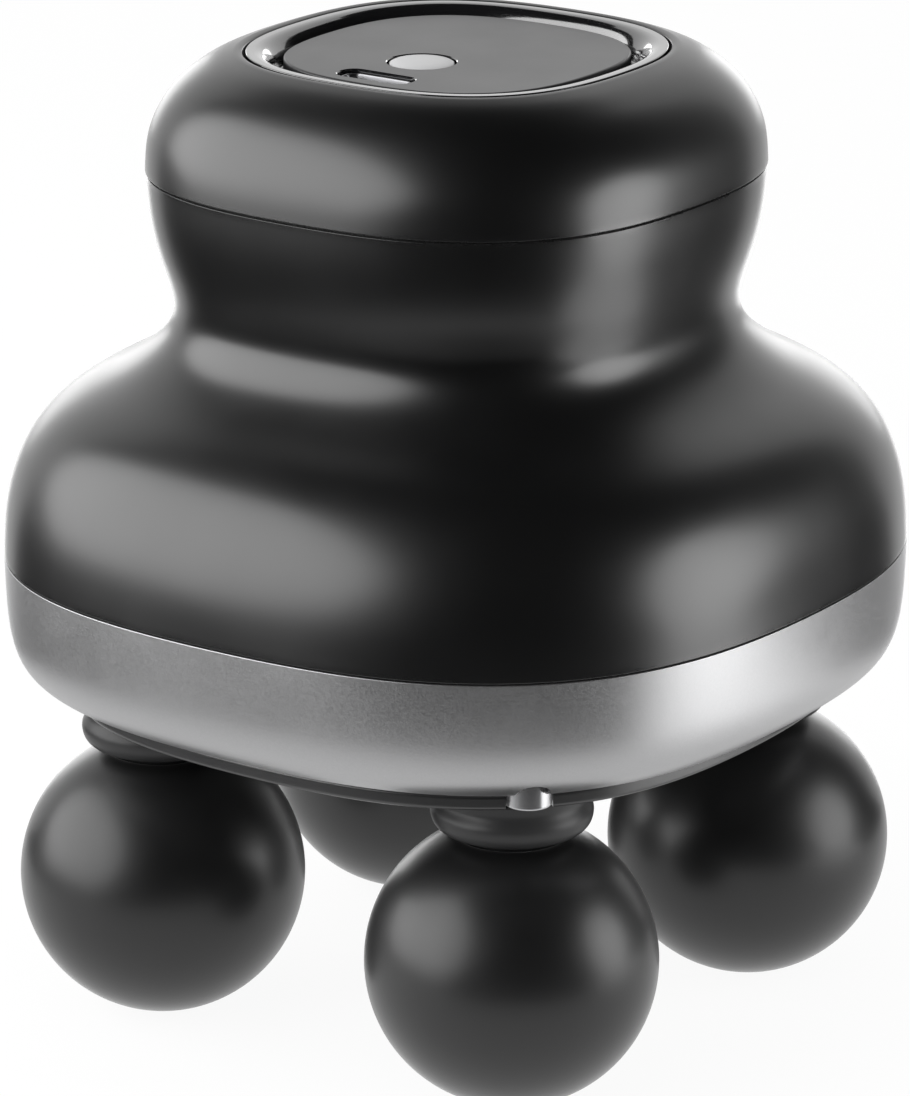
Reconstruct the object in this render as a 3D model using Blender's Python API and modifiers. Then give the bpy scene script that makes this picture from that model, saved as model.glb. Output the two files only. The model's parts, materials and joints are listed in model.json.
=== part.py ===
"""Palm-held percussion massager: four rubber balls on plungers, driven in turn by a wobble plate.

The part stands on its four balls. Its origin is on the vertical axis, at the level of the balls'
flat feet, with +Z up. The charging port and the power button lie towards -Y. The balls stand on
the two diagonals of the body and are named after the corners: front (+X, -Y), right (+X, +Y),
back (-X, +Y) and left (-X, -Y). A motor turns a crank, the crank swings the stem of a wobble
plate round a small circle, and the plate's four arms lift and lower the plungers.
"""

import math

import bmesh
import bpy
from mathutils import Matrix

# Fits shared by all pieces
CLEARANCE = 0.0003
OVERRUN = 0.001
EMBED = 0.0004

# The outline of the body: mean radii of its rounded-square plan, and the height of each stage
UNDERSIDE_GAP = 0.0050
BAND_HEIGHT = 0.0146
BAND_TUCK = 0.0060
SKIRT_HEIGHT = 0.0283
SKIRT_RADIUS = 0.0493
NECK_HEIGHT = 0.0153
WAIST_RADIUS = 0.0305
CAP_HEIGHT = 0.0135
CAP_SEAM_RADIUS = 0.0333
OPENING_RADIUS = 0.0229
SQUARE_SHARE = 0.04
SEAM_GROOVE = 0.0002
SHELL_STEPS = 32

# Shares of height and of radius between the named points of the outline, bottom to top
BAND_CURVE_SHARES = ((0.0, 0.0), (0.09, 0.30), (0.20, 0.58), (0.34, 0.80), (0.60, 0.95), (1.0, 1.0))
SKIRT_CURVE_SHARES = (
    (0.0, 0.0), (0.20, 0.02), (0.41, 0.11), (0.58, 0.29), (0.68, 0.48), (0.75, 0.665),
    (0.82, 0.825), (0.90, 0.945), (1.0, 1.0))
WAIST_CURVE_SHARES = ((0.0, 0.0), (0.16, 0.13), (0.36, 0.48), (0.68, 0.86), (1.0, 1.0))
CAP_CURVE_SHARES = (
    (0.0, 0.0), (0.33, 0.045), (0.60, 0.20), (0.80, 0.43), (0.93, 0.70), (0.99, 0.90), (0.985, 1.0))
CURVE_STEPS = 1
INNER_WALL_STEPS = 3

# Shell walls and the lapped joints between the shells
WALL = 0.0022
LAP_WALL = 0.0011
LAP_HEIGHT = 0.003
BAND_LEDGE_WIDTH = 0.0033
BAND_LEDGE_HEIGHT = 0.0022

# Base plate
PLATE_THICKNESS = 0.0024
LIP_HEIGHT = 0.0020
LIP_INSET = 0.0014
LIP_ROUND = 0.0005
PLATE_STEP_HEIGHT = 0.0018
BOSS_RADIUS = 0.0068
BOSS_HEIGHT = 0.0085
NOTCH_RADIUS = 0.0027
NOTCH_OUTSET = 0.0010
NOTCH_HEIGHT = 0.0062

# Balls, their inserts and the plungers
BALL_RADIUS = 0.0162
FOOT_DEPTH = 0.0004
BALL_INSET = 0.0007
BALL_STEPS = 24
BALL_ARC_STEPS = 9
RECESS_RADIUS = 0.0059
RECESS_DEPTH = 0.0045
RECESS_RIM = 0.0009
INSERT_RADIUS = 0.0042
INSERT_FLANGE_RADIUS = 0.0054
INSERT_FLANGE_HEIGHT = 0.0012
INSERT_LENGTH = 0.0115
INSERT_FLOOR = 0.002
ROD_RADIUS = 0.0025
HEAD_WIDTH = 0.010
HEAD_JAW = 0.0026
HEAD_WEB = 0.002
ROD_STEPS = 12

# Guide bushes and boots
BUSH_WALL = 0.0015
BUSH_FLANGE_WIDTH = 0.0019
BUSH_FLANGE_HEIGHT = 0.0008
BUSH_INSET = 0.0006
BOOT_RADIUS = 0.0090
BOOT_WALL = 0.0009
BOOT_NECK_RADIUS = 0.0052
BOOT_FOLD_DEPTH = 0.0006
BOOT_STEPS = 20
BOOT_WALL_STEPS = 2
BOOT_SHARES = (
    (0.0, 1.0), (0.24, 0.995), (0.42, 0.985), (0.50, 0.945), (0.555, 0.86), (0.58, 0.745),
    (0.58, 0.62), (0.54, 0.50), (0.505, 0.36), (0.53, 0.17))

# Wobble plate on its universal joint
PIVOT_HEIGHT = 0.0184
HUB_RADIUS = 0.0125
HUB_WALL = 0.0035
HUB_DROP = 0.003
HUB_RISE = 0.0045
HUB_ROOF = 0.0018
STEM_RADIUS = 0.0013
STEM_TIP_RADIUS = 0.0018
STEM_REACH = 0.011
ARM_WIDTH = 0.006
ARM_HEIGHT = 0.0044
ARM_END_GAP = 0.0011
ARM_NECK_RADIUS = 0.0015
ARM_BALL_RADIUS = 0.0025
ARM_BALL_PLAY = 0.0001
CROSS_BLOCK = 0.0064
TRUNNION_RADIUS = 0.0015
EAR_GAP = 0.0008
EAR_THICKNESS = 0.0032
EAR_WIDTH = 0.0062
EAR_RISE = 0.0031
POST_RADIUS = 0.0080
POST_GAP = 0.0050

# Crank and motor
ECCENTRICITY = 0.001
SOCKET_RADIUS = 0.0045
SOCKET_WALL = 0.0018
CRANK_BOTTOM_GAP = 0.0017
CRANK_TIP_GAP = 0.0005
CRANK_DISC_RADIUS = 0.0105
CRANK_DISC_HEIGHT = 0.0022
CRANK_FLAT_OFFSET = 0.0072
CRANK_BOSS_RADIUS = 0.0035
CRANK_BOSS_HEIGHT = 0.0018
SHAFT_RADIUS = 0.001
SHAFT_ENGAGE = 0.0030
MOTOR_RADIUS = 0.012
MOTOR_HEADROOM = 0.0020
MOTOR_EDGE = 0.0009
MOTOR_CAP_HEIGHT = 0.0022
MOTOR_CAP_INSET = 0.0006
MOTOR_NOSE_RADIUS = 0.0032

# Motor bracket
BRACKET_GAP = 0.0004
BRACKET_THICKNESS = 0.002
BRACKET_RIM = 0.0002
LEG_GAP = 0.0007
LEG_RADIUS = 0.0032
MOTOR_SCREW_OFFSET = 0.008

# Columns that hold the grip body to the base plate
COLUMN_COVER = 0.0014
COLUMN_RADIUS = 0.0032
COLUMN_TOP_SHARE = 0.735
COLUMN_WALL_SHARE = 0.62
RIB_WIDTH = 0.0016
RIB_WALL_SHARE = 0.20
RIB_LOW_SHARE = 0.25
RIB_TOP_SHARE = 0.50

# Battery
BATTERY_HEADROOM = 0.0041
BATTERY_WIDTH = 0.020
BATTERY_GAP = 0.0030
BATTERY_ROUND = 0.0016
TRAY_WALL = 0.0008
TRAY_HEIGHT = 0.0180
TRAY_MOTOR_GAP = 0.0004

# Control panel, its bezel, the button, the switch and the circuit board
BEZEL_WIDTH = 0.0030
BEZEL_DEPTH = 0.0029
BEZEL_CURVE_SHARES = ((0.0, 0.0), (0.10, 0.18), (0.42, 0.42), (0.74, 0.70), (0.93, 0.90), (1.0, 1.0))
BEZEL_EDGE_DROP = 0.0004
BEZEL_FLOOR = 0.0006
BEZEL_SHELF_WIDTH = 0.0021
CAP_SHELF_WIDTH = 0.0018
CAP_SHELF_HEIGHT = 0.0012
PANEL_GAP = 0.0010
PANEL_THICKNESS = 0.0021
PANEL_EDGE = 0.0003
PANEL_FEATURES_X = -0.0009
BUTTON_PITCH = 0.0086
BUTTON_RADIUS = 0.0036
BUTTON_DOME = 0.0003
BUTTON_FLANGE_WIDTH = 0.001
BUTTON_FLANGE_HEIGHT = 0.0008
BUTTON_BOSS_RADIUS = 0.0017
BUTTON_BOSS_HEIGHT = 0.0005
BUTTON_TRAVEL = 0.0005
SWITCH_SIZE = 0.006
SWITCH_HEIGHT = 0.0021
SWITCH_STEM_RADIUS = 0.0017
SWITCH_STEM_LENGTH = 0.0013
SWITCH_BORE_DEPTH = 0.0016
BOARD_DROP = 0.0047
BOARD_THICKNESS = 0.0016
BOARD_GAP = 0.0020
BOARD_FLAT_Y = 0.0123
BOARD_POST_EDGE = 0.0045
BOARD_POST_Y = 0.004
BOARD_POST_RADIUS = 0.0024

# Charging port
PORT_EDGE = 0.0021
PORT_WIDTH = 0.0089
PORT_DEPTH = 0.0032
PORT_WALL = 0.0003
PORT_FLOOR = 0.0006
PORT_RECESS = 0.0005
TONGUE_WIDTH = 0.0067
TONGUE_DEPTH = 0.0007
TONGUE_LENGTH = 0.0046

# Screws
SCREW_HEAD_RADIUS = 0.0024
SCREW_HEAD_HEIGHT = 0.0012
SCREW_RADIUS = 0.0012
SCREW_LENGTH = 0.0075
SCREW_RECESS_RADIUS = 0.0009
SCREW_RECESS_DEPTH = 0.0006
SMALL_SCREW_HEAD_RADIUS = 0.0018
SMALL_SCREW_HEAD_HEIGHT = 0.0010
SMALL_SCREW_RADIUS = 0.0009
SMALL_SCREW_LENGTH = 0.0040
SCREW_STEPS = 8

# Places that follow from the sizes above
FLAT_SHARE = 1 - SQUARE_SHARE
CORNER_SHARE = 1 + SQUARE_SHARE
BALL_Z = BALL_RADIUS - FOOT_DEPTH
UNDERSIDE_Z = BALL_Z + BALL_RADIUS - FOOT_DEPTH + UNDERSIDE_GAP
BAND_BOTTOM_Z = UNDERSIDE_Z + LIP_HEIGHT + CLEARANCE
SKIRT_SEAM_Z = BAND_BOTTOM_Z + BAND_HEIGHT
WAIST_Z = SKIRT_SEAM_Z + SKIRT_HEIGHT
CAP_SEAM_Z = WAIST_Z + NECK_HEIGHT
CAP_TOP_Z = CAP_SEAM_Z + CAP_HEIGHT
PIVOT_Z = UNDERSIDE_Z + PIVOT_HEIGHT
PLATE_FLOOR_Z = UNDERSIDE_Z + PLATE_THICKNESS
BAND_BOTTOM_RADIUS = SKIRT_RADIUS - BAND_TUCK
LIP_RADIUS = BAND_BOTTOM_RADIUS - LIP_INSET
BAND_HOLE_RADIUS = BAND_BOTTOM_RADIUS - BAND_LEDGE_WIDTH
BALL_CIRCLE_RADIUS = BAND_HOLE_RADIUS * CORNER_SHARE - BOSS_RADIUS - BALL_INSET
BALL_OFFSET = BALL_CIRCLE_RADIUS * math.sqrt(0.5)
COLUMN_WALL_RADIUS = SKIRT_RADIUS + (WAIST_RADIUS - SKIRT_RADIUS) * COLUMN_WALL_SHARE
COLUMN_OFFSET = COLUMN_WALL_RADIUS * FLAT_SHARE - COLUMN_RADIUS - COLUMN_COVER
RIB_WALL_RADIUS = SKIRT_RADIUS + (WAIST_RADIUS - SKIRT_RADIUS) * RIB_WALL_SHARE
RIB_REACH = RIB_WALL_RADIUS * FLAT_SHARE - WALL / 2 - COLUMN_OFFSET
LEG_OFFSET = COLUMN_OFFSET - COLUMN_RADIUS - LEG_RADIUS - LEG_GAP
BRACKET_RADIUS = LEG_OFFSET + LEG_RADIUS + BRACKET_RIM
BUSH_BORE_RADIUS = ROD_RADIUS + CLEARANCE
BUSH_RADIUS = BUSH_BORE_RADIUS + BUSH_WALL
BOSS_TOP_Z = UNDERSIDE_Z + BOSS_HEIGHT
BUSH_TOP_Z = BOSS_TOP_Z + CLEARANCE + BUSH_FLANGE_HEIGHT
RECESS_FLOOR_Z = BALL_Z + BALL_RADIUS - FOOT_DEPTH - RECESS_DEPTH - OVERRUN
INSERT_TOP_Z = RECESS_FLOOR_Z + CLEARANCE + INSERT_FLANGE_HEIGHT
INSERT_BOTTOM_Z = RECESS_FLOOR_Z + CLEARANCE - INSERT_LENGTH + INSERT_FLANGE_HEIGHT
BOOT_TOP_Z = UNDERSIDE_Z - CLEARANCE
BOOT_BOTTOM_Z = INSERT_TOP_Z + CLEARANCE
HEAD_SLOT_HALF = ARM_BALL_RADIUS + ARM_BALL_PLAY
HEAD_BOTTOM_Z = PIVOT_Z - HEAD_SLOT_HALF - HEAD_JAW
HEAD_TOP_Z = PIVOT_Z + HEAD_SLOT_HALF + HEAD_JAW
HUB_TOP_Z = PIVOT_Z + HUB_RISE + HUB_ROOF
STEM_TIP_Z = PIVOT_Z + STEM_REACH
TRUNNION_HOLE_RADIUS = TRUNNION_RADIUS + CLEARANCE
EAR_INNER = CROSS_BLOCK / 2 + EAR_GAP
EAR_OUTER = EAR_INNER + EAR_THICKNESS
CRANK_BOTTOM_Z = HUB_TOP_Z + CRANK_BOTTOM_GAP
SOCKET_TOP_Z = STEM_TIP_Z + STEM_TIP_RADIUS + CRANK_TIP_GAP
CRANK_DISC_TOP_Z = SOCKET_TOP_Z + CRANK_DISC_HEIGHT
CRANK_TOP_Z = CRANK_DISC_TOP_Z + CRANK_BOSS_HEIGHT
BRACKET_Z = CRANK_TOP_Z + BRACKET_GAP
BRACKET_TOP_Z = BRACKET_Z + BRACKET_THICKNESS
MOTOR_Z = BRACKET_TOP_Z + CLEARANCE
CAP_SHELF_Z = CAP_TOP_Z - BEZEL_EDGE_DROP - BEZEL_DEPTH - BEZEL_FLOOR - CLEARANCE
BEZEL_RADIUS = OPENING_RADIUS - CLEARANCE
BEZEL_TOP_Z = CAP_TOP_Z - BEZEL_EDGE_DROP
BEZEL_SHELF_Z = BEZEL_TOP_Z - BEZEL_DEPTH
PANEL_Z = BEZEL_SHELF_Z + CLEARANCE
PANEL_TOP_Z = PANEL_Z + PANEL_THICKNESS
PANEL_RADIUS = BEZEL_RADIUS - BEZEL_WIDTH - PANEL_GAP
PORT_Y = PORT_DEPTH / 2 + PORT_EDGE - PANEL_RADIUS * FLAT_SHARE
BUTTON_Y = PORT_Y + BUTTON_PITCH
BOARD_TOP_Z = PANEL_Z - BOARD_DROP
BOARD_Z = BOARD_TOP_Z - BOARD_THICKNESS
BOARD_RADIUS = BEZEL_RADIUS - BEZEL_WIDTH - BEZEL_SHELF_WIDTH - BOARD_GAP
BOARD_POST_X = BOARD_RADIUS - BOARD_POST_EDGE
BOARD_SCREW_Z = BOARD_Z - CLEARANCE - SMALL_SCREW_HEAD_HEIGHT
MOTOR_TOP_Z = BOARD_SCREW_Z - MOTOR_HEADROOM - MOTOR_CAP_HEIGHT
SWITCH_TOP_Z = BOARD_TOP_Z + CLEARANCE + SWITCH_HEIGHT
TRAY_Y = MOTOR_RADIUS + TRAY_MOTOR_GAP
TRAY_SPACE = WAIST_RADIUS * FLAT_SHARE - WALL - BATTERY_GAP - TRAY_Y
BATTERY_DEPTH = TRAY_SPACE - (TRAY_WALL + CLEARANCE) * 2
BATTERY_Y = TRAY_Y + TRAY_SPACE / 2
BATTERY_Z = BRACKET_TOP_Z + CLEARANCE + TRAY_WALL + CLEARANCE
BATTERY_TOP_Z = PANEL_Z - BATTERY_HEADROOM
SCREW_HOLE_RADIUS = SCREW_RADIUS + CLEARANCE
SMALL_SCREW_HOLE_RADIUS = SMALL_SCREW_RADIUS + CLEARANCE

CORNERS = (("front", 1, -1), ("right", 1, 1), ("back", -1, 1), ("left", -1, -1))
SIDES = (("east", 0.0), ("north", math.pi / 2), ("west", math.pi), ("south", -math.pi / 2))

PARTS_NAME = "percussion_massager"
CUTTERS_NAME = "cutters"


def clear_scene():
    for item in list(bpy.data.objects):
        bpy.data.objects.remove(item, do_unlink=True)


def new_collection(name):
    group = bpy.data.collections.new(name)
    bpy.context.scene.collection.children.link(group)
    return group


def material(name, colour, roughness, metallic=0.0):
    """A Principled material in the colour that the photograph shows."""
    found = bpy.data.materials.get(name)
    if found:
        return found
    made = bpy.data.materials.new(name)
    made.use_nodes = True
    shader = made.node_tree.nodes["Principled BSDF"]
    shader.inputs["Base Color"].default_value = (*colour, 1.0)
    shader.inputs["Roughness"].default_value = roughness
    shader.inputs["Metallic"].default_value = metallic
    return made


def soft_black():
    return material("soft_touch_black", (0.018, 0.018, 0.019), 0.42)


def silver_paint():
    return material("silver_paint", (0.33, 0.33, 0.335), 0.34, 0.85)


def gloss_black():
    return material("gloss_black", (0.012, 0.012, 0.013), 0.12)


def panel_grey():
    return material("panel_grey", (0.075, 0.075, 0.078), 0.30)


def button_grey():
    return material("button_grey", (0.32, 0.32, 0.325), 0.38)


def ball_rubber():
    return material("ball_rubber", (0.022, 0.022, 0.023), 0.55)


def boot_rubber():
    return material("boot_rubber", (0.030, 0.030, 0.031), 0.48)


def dark_plastic():
    return material("inner_plastic", (0.045, 0.045, 0.048), 0.5)


def bearing_plastic():
    return material("bearing_plastic", (0.62, 0.60, 0.55), 0.4)


def steel():
    return material("steel", (0.58, 0.58, 0.60), 0.28, 1.0)


def brass():
    return material("brass", (0.66, 0.49, 0.22), 0.3, 1.0)


def board_green():
    return material("board_green", (0.02, 0.11, 0.05), 0.45)


def battery_foil():
    return material("battery_foil", (0.50, 0.51, 0.53), 0.33, 0.9)


def add_part(name, mesh, look, x=0.0, y=0.0, turn=0.0):
    """A named sub-part made from a mesh, at (x, y) and turned about the vertical."""
    thing = bpy.data.objects.new(name, mesh)
    thing.location = (x, y, 0.0)
    thing.rotation_euler = (0.0, 0.0, turn)
    mesh.materials.clear()
    mesh.materials.append(look)
    parts.objects.link(thing)
    return thing


def smooth(thing, degrees=35.0):
    thing.data.shade_smooth()
    thing.data.set_sharp_from_angle(angle=math.radians(degrees))
    return thing


def arc(centre_r, centre_z, radius, start, end, steps):
    """Points of a profile along an arc, from one angle to the other."""
    angles = [start + (end - start) * i / steps for i in range(steps + 1)]
    return [(centre_r + radius * math.cos(a), centre_z + radius * math.sin(a)) for a in angles]


def curve_through(points, steps):
    """A Catmull-Rom curve through the points, with the given steps between two of them."""
    ends = [points[0], *points, points[-1]]
    result = []
    for p0, p1, p2, p3 in zip(ends, ends[1:], ends[2:], ends[3:]):
        for i in range(steps):
            t = i / steps
            result.append(tuple(
                0.5 * (2 * b + (c - a) * t + (2 * a - 5 * b + 4 * c - d) * t ** 2
                       + (3 * b - a - 3 * c + d) * t ** 3)
                for a, b, c, d in zip(p0, p1, p2, p3)))
    return result + [points[-1]]


def between(low, high, shares, steps=CURVE_STEPS):
    """A curve between two (radius, height) points; shares are (height share, radius share)."""
    return curve_through([
        (low[0] + (high[0] - low[0]) * across, low[1] + (high[1] - low[1]) * up)
        for up, across in shares], steps)


def inset(curve, wall):
    """The curve moved inwards by the wall, square to itself; it runs from bottom to top."""
    moved = []
    for i, (r, z) in enumerate(curve):
        r0, z0 = curve[max(i - 1, 0)]
        r1, z1 = curve[min(i + 1, len(curve) - 1)]
        length = math.hypot(r1 - r0, z1 - z0)
        moved.append((r - wall * (z1 - z0) / length, z + wall * (r1 - r0) / length))
    return moved


def lathe(name, profile, steps, closed):
    """The profile turned about Z: a loop makes a ring, an open line runs from axis to axis."""
    line = bpy.data.meshes.new(name + "_profile")
    edges = [(i, i + 1) for i in range(len(profile) - 1)]
    if closed:
        edges.append((len(profile) - 1, 0))
    line.from_pydata([(r, 0.0, z) for r, z in profile], edges, [])
    holder = bpy.data.objects.new(name + "_profile", line)
    bpy.context.scene.collection.objects.link(holder)
    screw = holder.modifiers.new("turn", "SCREW")
    screw.steps = steps
    screw.render_steps = steps
    screw.use_merge_vertices = True
    screw.merge_threshold = 0.00001
    screw.use_smooth_shade = False
    graph = bpy.context.evaluated_depsgraph_get()
    mesh = bpy.data.meshes.new_from_object(holder.evaluated_get(graph))
    mesh.name = name
    bpy.data.objects.remove(holder, do_unlink=True)
    return mesh


def square_off(mesh, share=SQUARE_SHARE):
    """Draws the flats in and pushes the diagonals out, which makes the plan a rounded square."""
    for vertex in mesh.vertices:
        x, y = vertex.co.x, vertex.co.y
        factor = 1.0 - share * math.cos(4 * math.atan2(y, x))
        vertex.co.x = x * factor
        vertex.co.y = y * factor
    return mesh


def box_mesh(name, width, depth, low, high, rounding=0.0):
    """A box about the vertical axis; rounding bevels its upright edges."""
    mesh = bpy.data.meshes.new(name)
    solid = bmesh.new()
    bmesh.ops.create_cube(solid, size=1.0)
    for vertex in solid.verts:
        vertex.co.x *= width
        vertex.co.y *= depth
        vertex.co.z = low if vertex.co.z < 0 else high
    if rounding:
        upright = [e for e in solid.edges if abs(e.verts[0].co.z - e.verts[1].co.z) > rounding]
        bmesh.ops.bevel(solid, geom=upright, offset=rounding, segments=3, affect="EDGES", profile=0.5)
    solid.to_mesh(mesh)
    solid.free()
    return mesh


def rod_mesh(name, radius, low, high, steps=ROD_STEPS):
    """An upright cylinder on the vertical axis."""
    mesh = bpy.data.meshes.new(name)
    solid = bmesh.new()
    bmesh.ops.create_cone(
        solid, cap_ends=True, segments=steps, radius1=radius, radius2=radius, depth=high - low,
        matrix=Matrix.Translation((0.0, 0.0, (low + high) / 2)))
    solid.to_mesh(mesh)
    solid.free()
    return mesh


def ball_mesh(name, radius, u_segments=10, v_segments=6):
    mesh = bpy.data.meshes.new(name)
    solid = bmesh.new()
    bmesh.ops.create_uvsphere(solid, u_segments=u_segments, v_segments=v_segments, radius=radius)
    solid.to_mesh(mesh)
    solid.free()
    return mesh


def lay_along(mesh, height, turn):
    """Lays an upright mesh down along +X at a height, then turns it about the vertical."""
    lay = Matrix.Rotation(math.pi / 2, 4, "Y")
    mesh.transform(Matrix.Rotation(turn, 4, "Z") @ Matrix.Translation((0.0, 0.0, height)) @ lay)
    return mesh


def place(mesh, x=0.0, y=0.0, turn=0.0):
    mesh.transform(Matrix.Translation((x, y, 0.0)) @ Matrix.Rotation(turn, 4, "Z"))
    return mesh


def combine(thing, mesh, operation):
    """Joins or cuts a part with a helper solid, which stays among the cutters."""
    helper = bpy.data.objects.new(f"{thing.name}_{operation.lower()}_{len(thing.modifiers)}", mesh)
    cutters.objects.link(helper)
    helper.matrix_world = thing.matrix_basis.copy()
    helper.hide_render = True
    helper.display_type = "WIRE"
    step = thing.modifiers.new(helper.name, "BOOLEAN")
    step.operation = operation
    step.solver = "EXACT"
    step.object = helper


def join(thing, mesh):
    combine(thing, mesh, "UNION")


def cut(thing, mesh):
    combine(thing, mesh, "DIFFERENCE")


def band_curve():
    return between((BAND_BOTTOM_RADIUS, BAND_BOTTOM_Z), (SKIRT_RADIUS, SKIRT_SEAM_Z - SEAM_GROOVE),
                   BAND_CURVE_SHARES)


def grip_curve():
    skirt = between((SKIRT_RADIUS, SKIRT_SEAM_Z + SEAM_GROOVE), (WAIST_RADIUS, WAIST_Z),
                    SKIRT_CURVE_SHARES)
    waist = between((WAIST_RADIUS, WAIST_Z), (CAP_SEAM_RADIUS, CAP_SEAM_Z - SEAM_GROOVE),
                    WAIST_CURVE_SHARES)
    return skirt + waist[1:]


def cap_curve():
    return between((CAP_SEAM_RADIUS, CAP_SEAM_Z + SEAM_GROOVE), (OPENING_RADIUS, CAP_TOP_Z),
                   CAP_CURVE_SHARES)


def make_base_plate():
    """Flat floor with the lip that shows under the band, and four bosses for the guide bushes."""
    step_radius = BAND_HOLE_RADIUS - CLEARANCE
    floor_z = BAND_BOTTOM_Z - CLEARANCE
    rim_z = floor_z + PLATE_STEP_HEIGHT
    rim_inner = step_radius - PLATE_THICKNESS
    profile = [
        (0.0, PLATE_FLOOR_Z), (rim_inner, PLATE_FLOOR_Z), (rim_inner, rim_z), (step_radius, rim_z),
        (step_radius, floor_z), (LIP_RADIUS - LIP_ROUND, floor_z), (LIP_RADIUS, floor_z - LIP_ROUND),
        (LIP_RADIUS, UNDERSIDE_Z + LIP_ROUND), (LIP_RADIUS - LIP_ROUND, UNDERSIDE_Z),
        (0.0, UNDERSIDE_Z)]
    plate = add_part("base_plate", square_off(lathe("base_plate", profile, SHELL_STEPS, False)),
                     gloss_black())
    for _, sx, sy in CORNERS:
        x, y = sx * BALL_OFFSET, sy * BALL_OFFSET
        join(plate, place(rod_mesh("boss", BOSS_RADIUS, PLATE_FLOOR_Z - EMBED, BOSS_TOP_Z), x, y))
        hole = rod_mesh("bush_hole", BUSH_RADIUS + CLEARANCE, UNDERSIDE_Z - OVERRUN,
                        BOSS_TOP_Z + OVERRUN)
        cut(plate, place(hole, x, y))
    for offset in (LEG_OFFSET, COLUMN_OFFSET):
        for _, turn in SIDES:
            cut_screw_seat(plate, offset * math.cos(turn), offset * math.sin(turn))
    cut_screw_seat(plate, 0.0, 0.0)
    cut(plate, notch_mesh())
    return smooth(plate)


def cut_screw_seat(plate, x, y):
    """A through hole with a counterbore from below and room for the column's foot above the floor."""
    seat_z = UNDERSIDE_Z + SCREW_HEAD_HEIGHT + CLEARANCE
    seat_radius = SCREW_HEAD_RADIUS + CLEARANCE
    foot_radius = COLUMN_RADIUS + CLEARANCE
    rim_top_z = BAND_BOTTOM_Z + PLATE_STEP_HEIGHT
    profile = [
        (0.0, rim_top_z), (foot_radius, rim_top_z), (foot_radius, PLATE_FLOOR_Z + OVERRUN),
        (SCREW_HOLE_RADIUS, PLATE_FLOOR_Z + OVERRUN),
        (SCREW_HOLE_RADIUS, seat_z), (seat_radius, seat_z), (seat_radius, UNDERSIDE_Z - OVERRUN),
        (0.0, UNDERSIDE_Z - OVERRUN)]
    cut(plate, place(lathe("screw_seat", profile, SCREW_STEPS, False), x, y))


def notch_mesh():
    """The upright scoop at the front corner, through the lip and into the band."""
    corner_radius = LIP_RADIUS * CORNER_SHARE + NOTCH_OUTSET
    diagonal = corner_radius * math.sqrt(0.5)
    scoop = rod_mesh("notch", NOTCH_RADIUS, UNDERSIDE_Z - OVERRUN, UNDERSIDE_Z + NOTCH_HEIGHT)
    return place(scoop, diagonal, -diagonal)


def make_base_band():
    """Silver ring: it curves in to the base plate and laps into the grip body."""
    outer = band_curve()
    inner = [p for p in inset(outer, WALL) if p[1] > BAND_BOTTOM_Z + BAND_LEDGE_HEIGHT][::2]
    top_z = outer[-1][1]
    lap_radius = SKIRT_RADIUS - WALL - 2 * CLEARANCE
    lap_inner = lap_radius - LAP_WALL
    ledge_z = BAND_BOTTOM_Z + BAND_LEDGE_HEIGHT
    profile = [
        (lap_radius, top_z + LAP_HEIGHT), (lap_radius, top_z), *reversed(outer),
        (BAND_HOLE_RADIUS, BAND_BOTTOM_Z), (BAND_HOLE_RADIUS, ledge_z),
        (inner[0][0] - LAP_WALL, ledge_z)]
    profile += [(min(r, lap_inner), z) for r, z in inner if z < top_z - LAP_HEIGHT]
    profile += [(lap_inner, top_z - LAP_WALL), (lap_inner, top_z + LAP_HEIGHT)]
    band = add_part("base_band", square_off(lathe("base_band", profile, SHELL_STEPS, True)),
                    silver_paint())
    cut(band, notch_mesh())
    return smooth(band)


def make_grip_body():
    """Black shell from the skirt to the waist, with a lap for the cap and four screw columns."""
    outer = grip_curve()
    inner = inset(outer, WALL)
    top_z = outer[-1][1]
    lap_radius = CAP_SEAM_RADIUS - LAP_WALL - CLEARANCE
    bore_radius = inner[-1][0]
    profile = [
        (lap_radius, top_z + LAP_HEIGHT), (lap_radius, top_z), *reversed(outer),
        (inner[0][0], outer[0][1]), *inner[1:-1:INNER_WALL_STEPS], (bore_radius, top_z),
        (bore_radius, top_z + LAP_HEIGHT)]
    grip = add_part("grip_body", square_off(lathe("grip_body", profile, SHELL_STEPS, True)),
                    soft_black())
    height = WAIST_Z - SKIRT_SEAM_Z
    column_z = PLATE_FLOOR_Z + CLEARANCE
    for _, turn in SIDES:
        x, y = COLUMN_OFFSET * math.cos(turn), COLUMN_OFFSET * math.sin(turn)
        column = rod_mesh("column", COLUMN_RADIUS, column_z, SKIRT_SEAM_Z + height * COLUMN_TOP_SHARE)
        join(grip, place(column, x, y))
        rib = box_mesh("rib", RIB_REACH, RIB_WIDTH, SKIRT_SEAM_Z + height * RIB_LOW_SHARE,
                       SKIRT_SEAM_Z + height * RIB_TOP_SHARE)
        middle = 1.0 + RIB_REACH / 2 / COLUMN_OFFSET
        join(grip, place(rib, x * middle, y * middle, turn))
        pilot = rod_mesh("pilot", SCREW_HOLE_RADIUS, column_z - OVERRUN,
                         column_z + SCREW_LENGTH, SCREW_STEPS)
        cut(grip, place(pilot, x, y))
    return smooth(grip)


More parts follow.
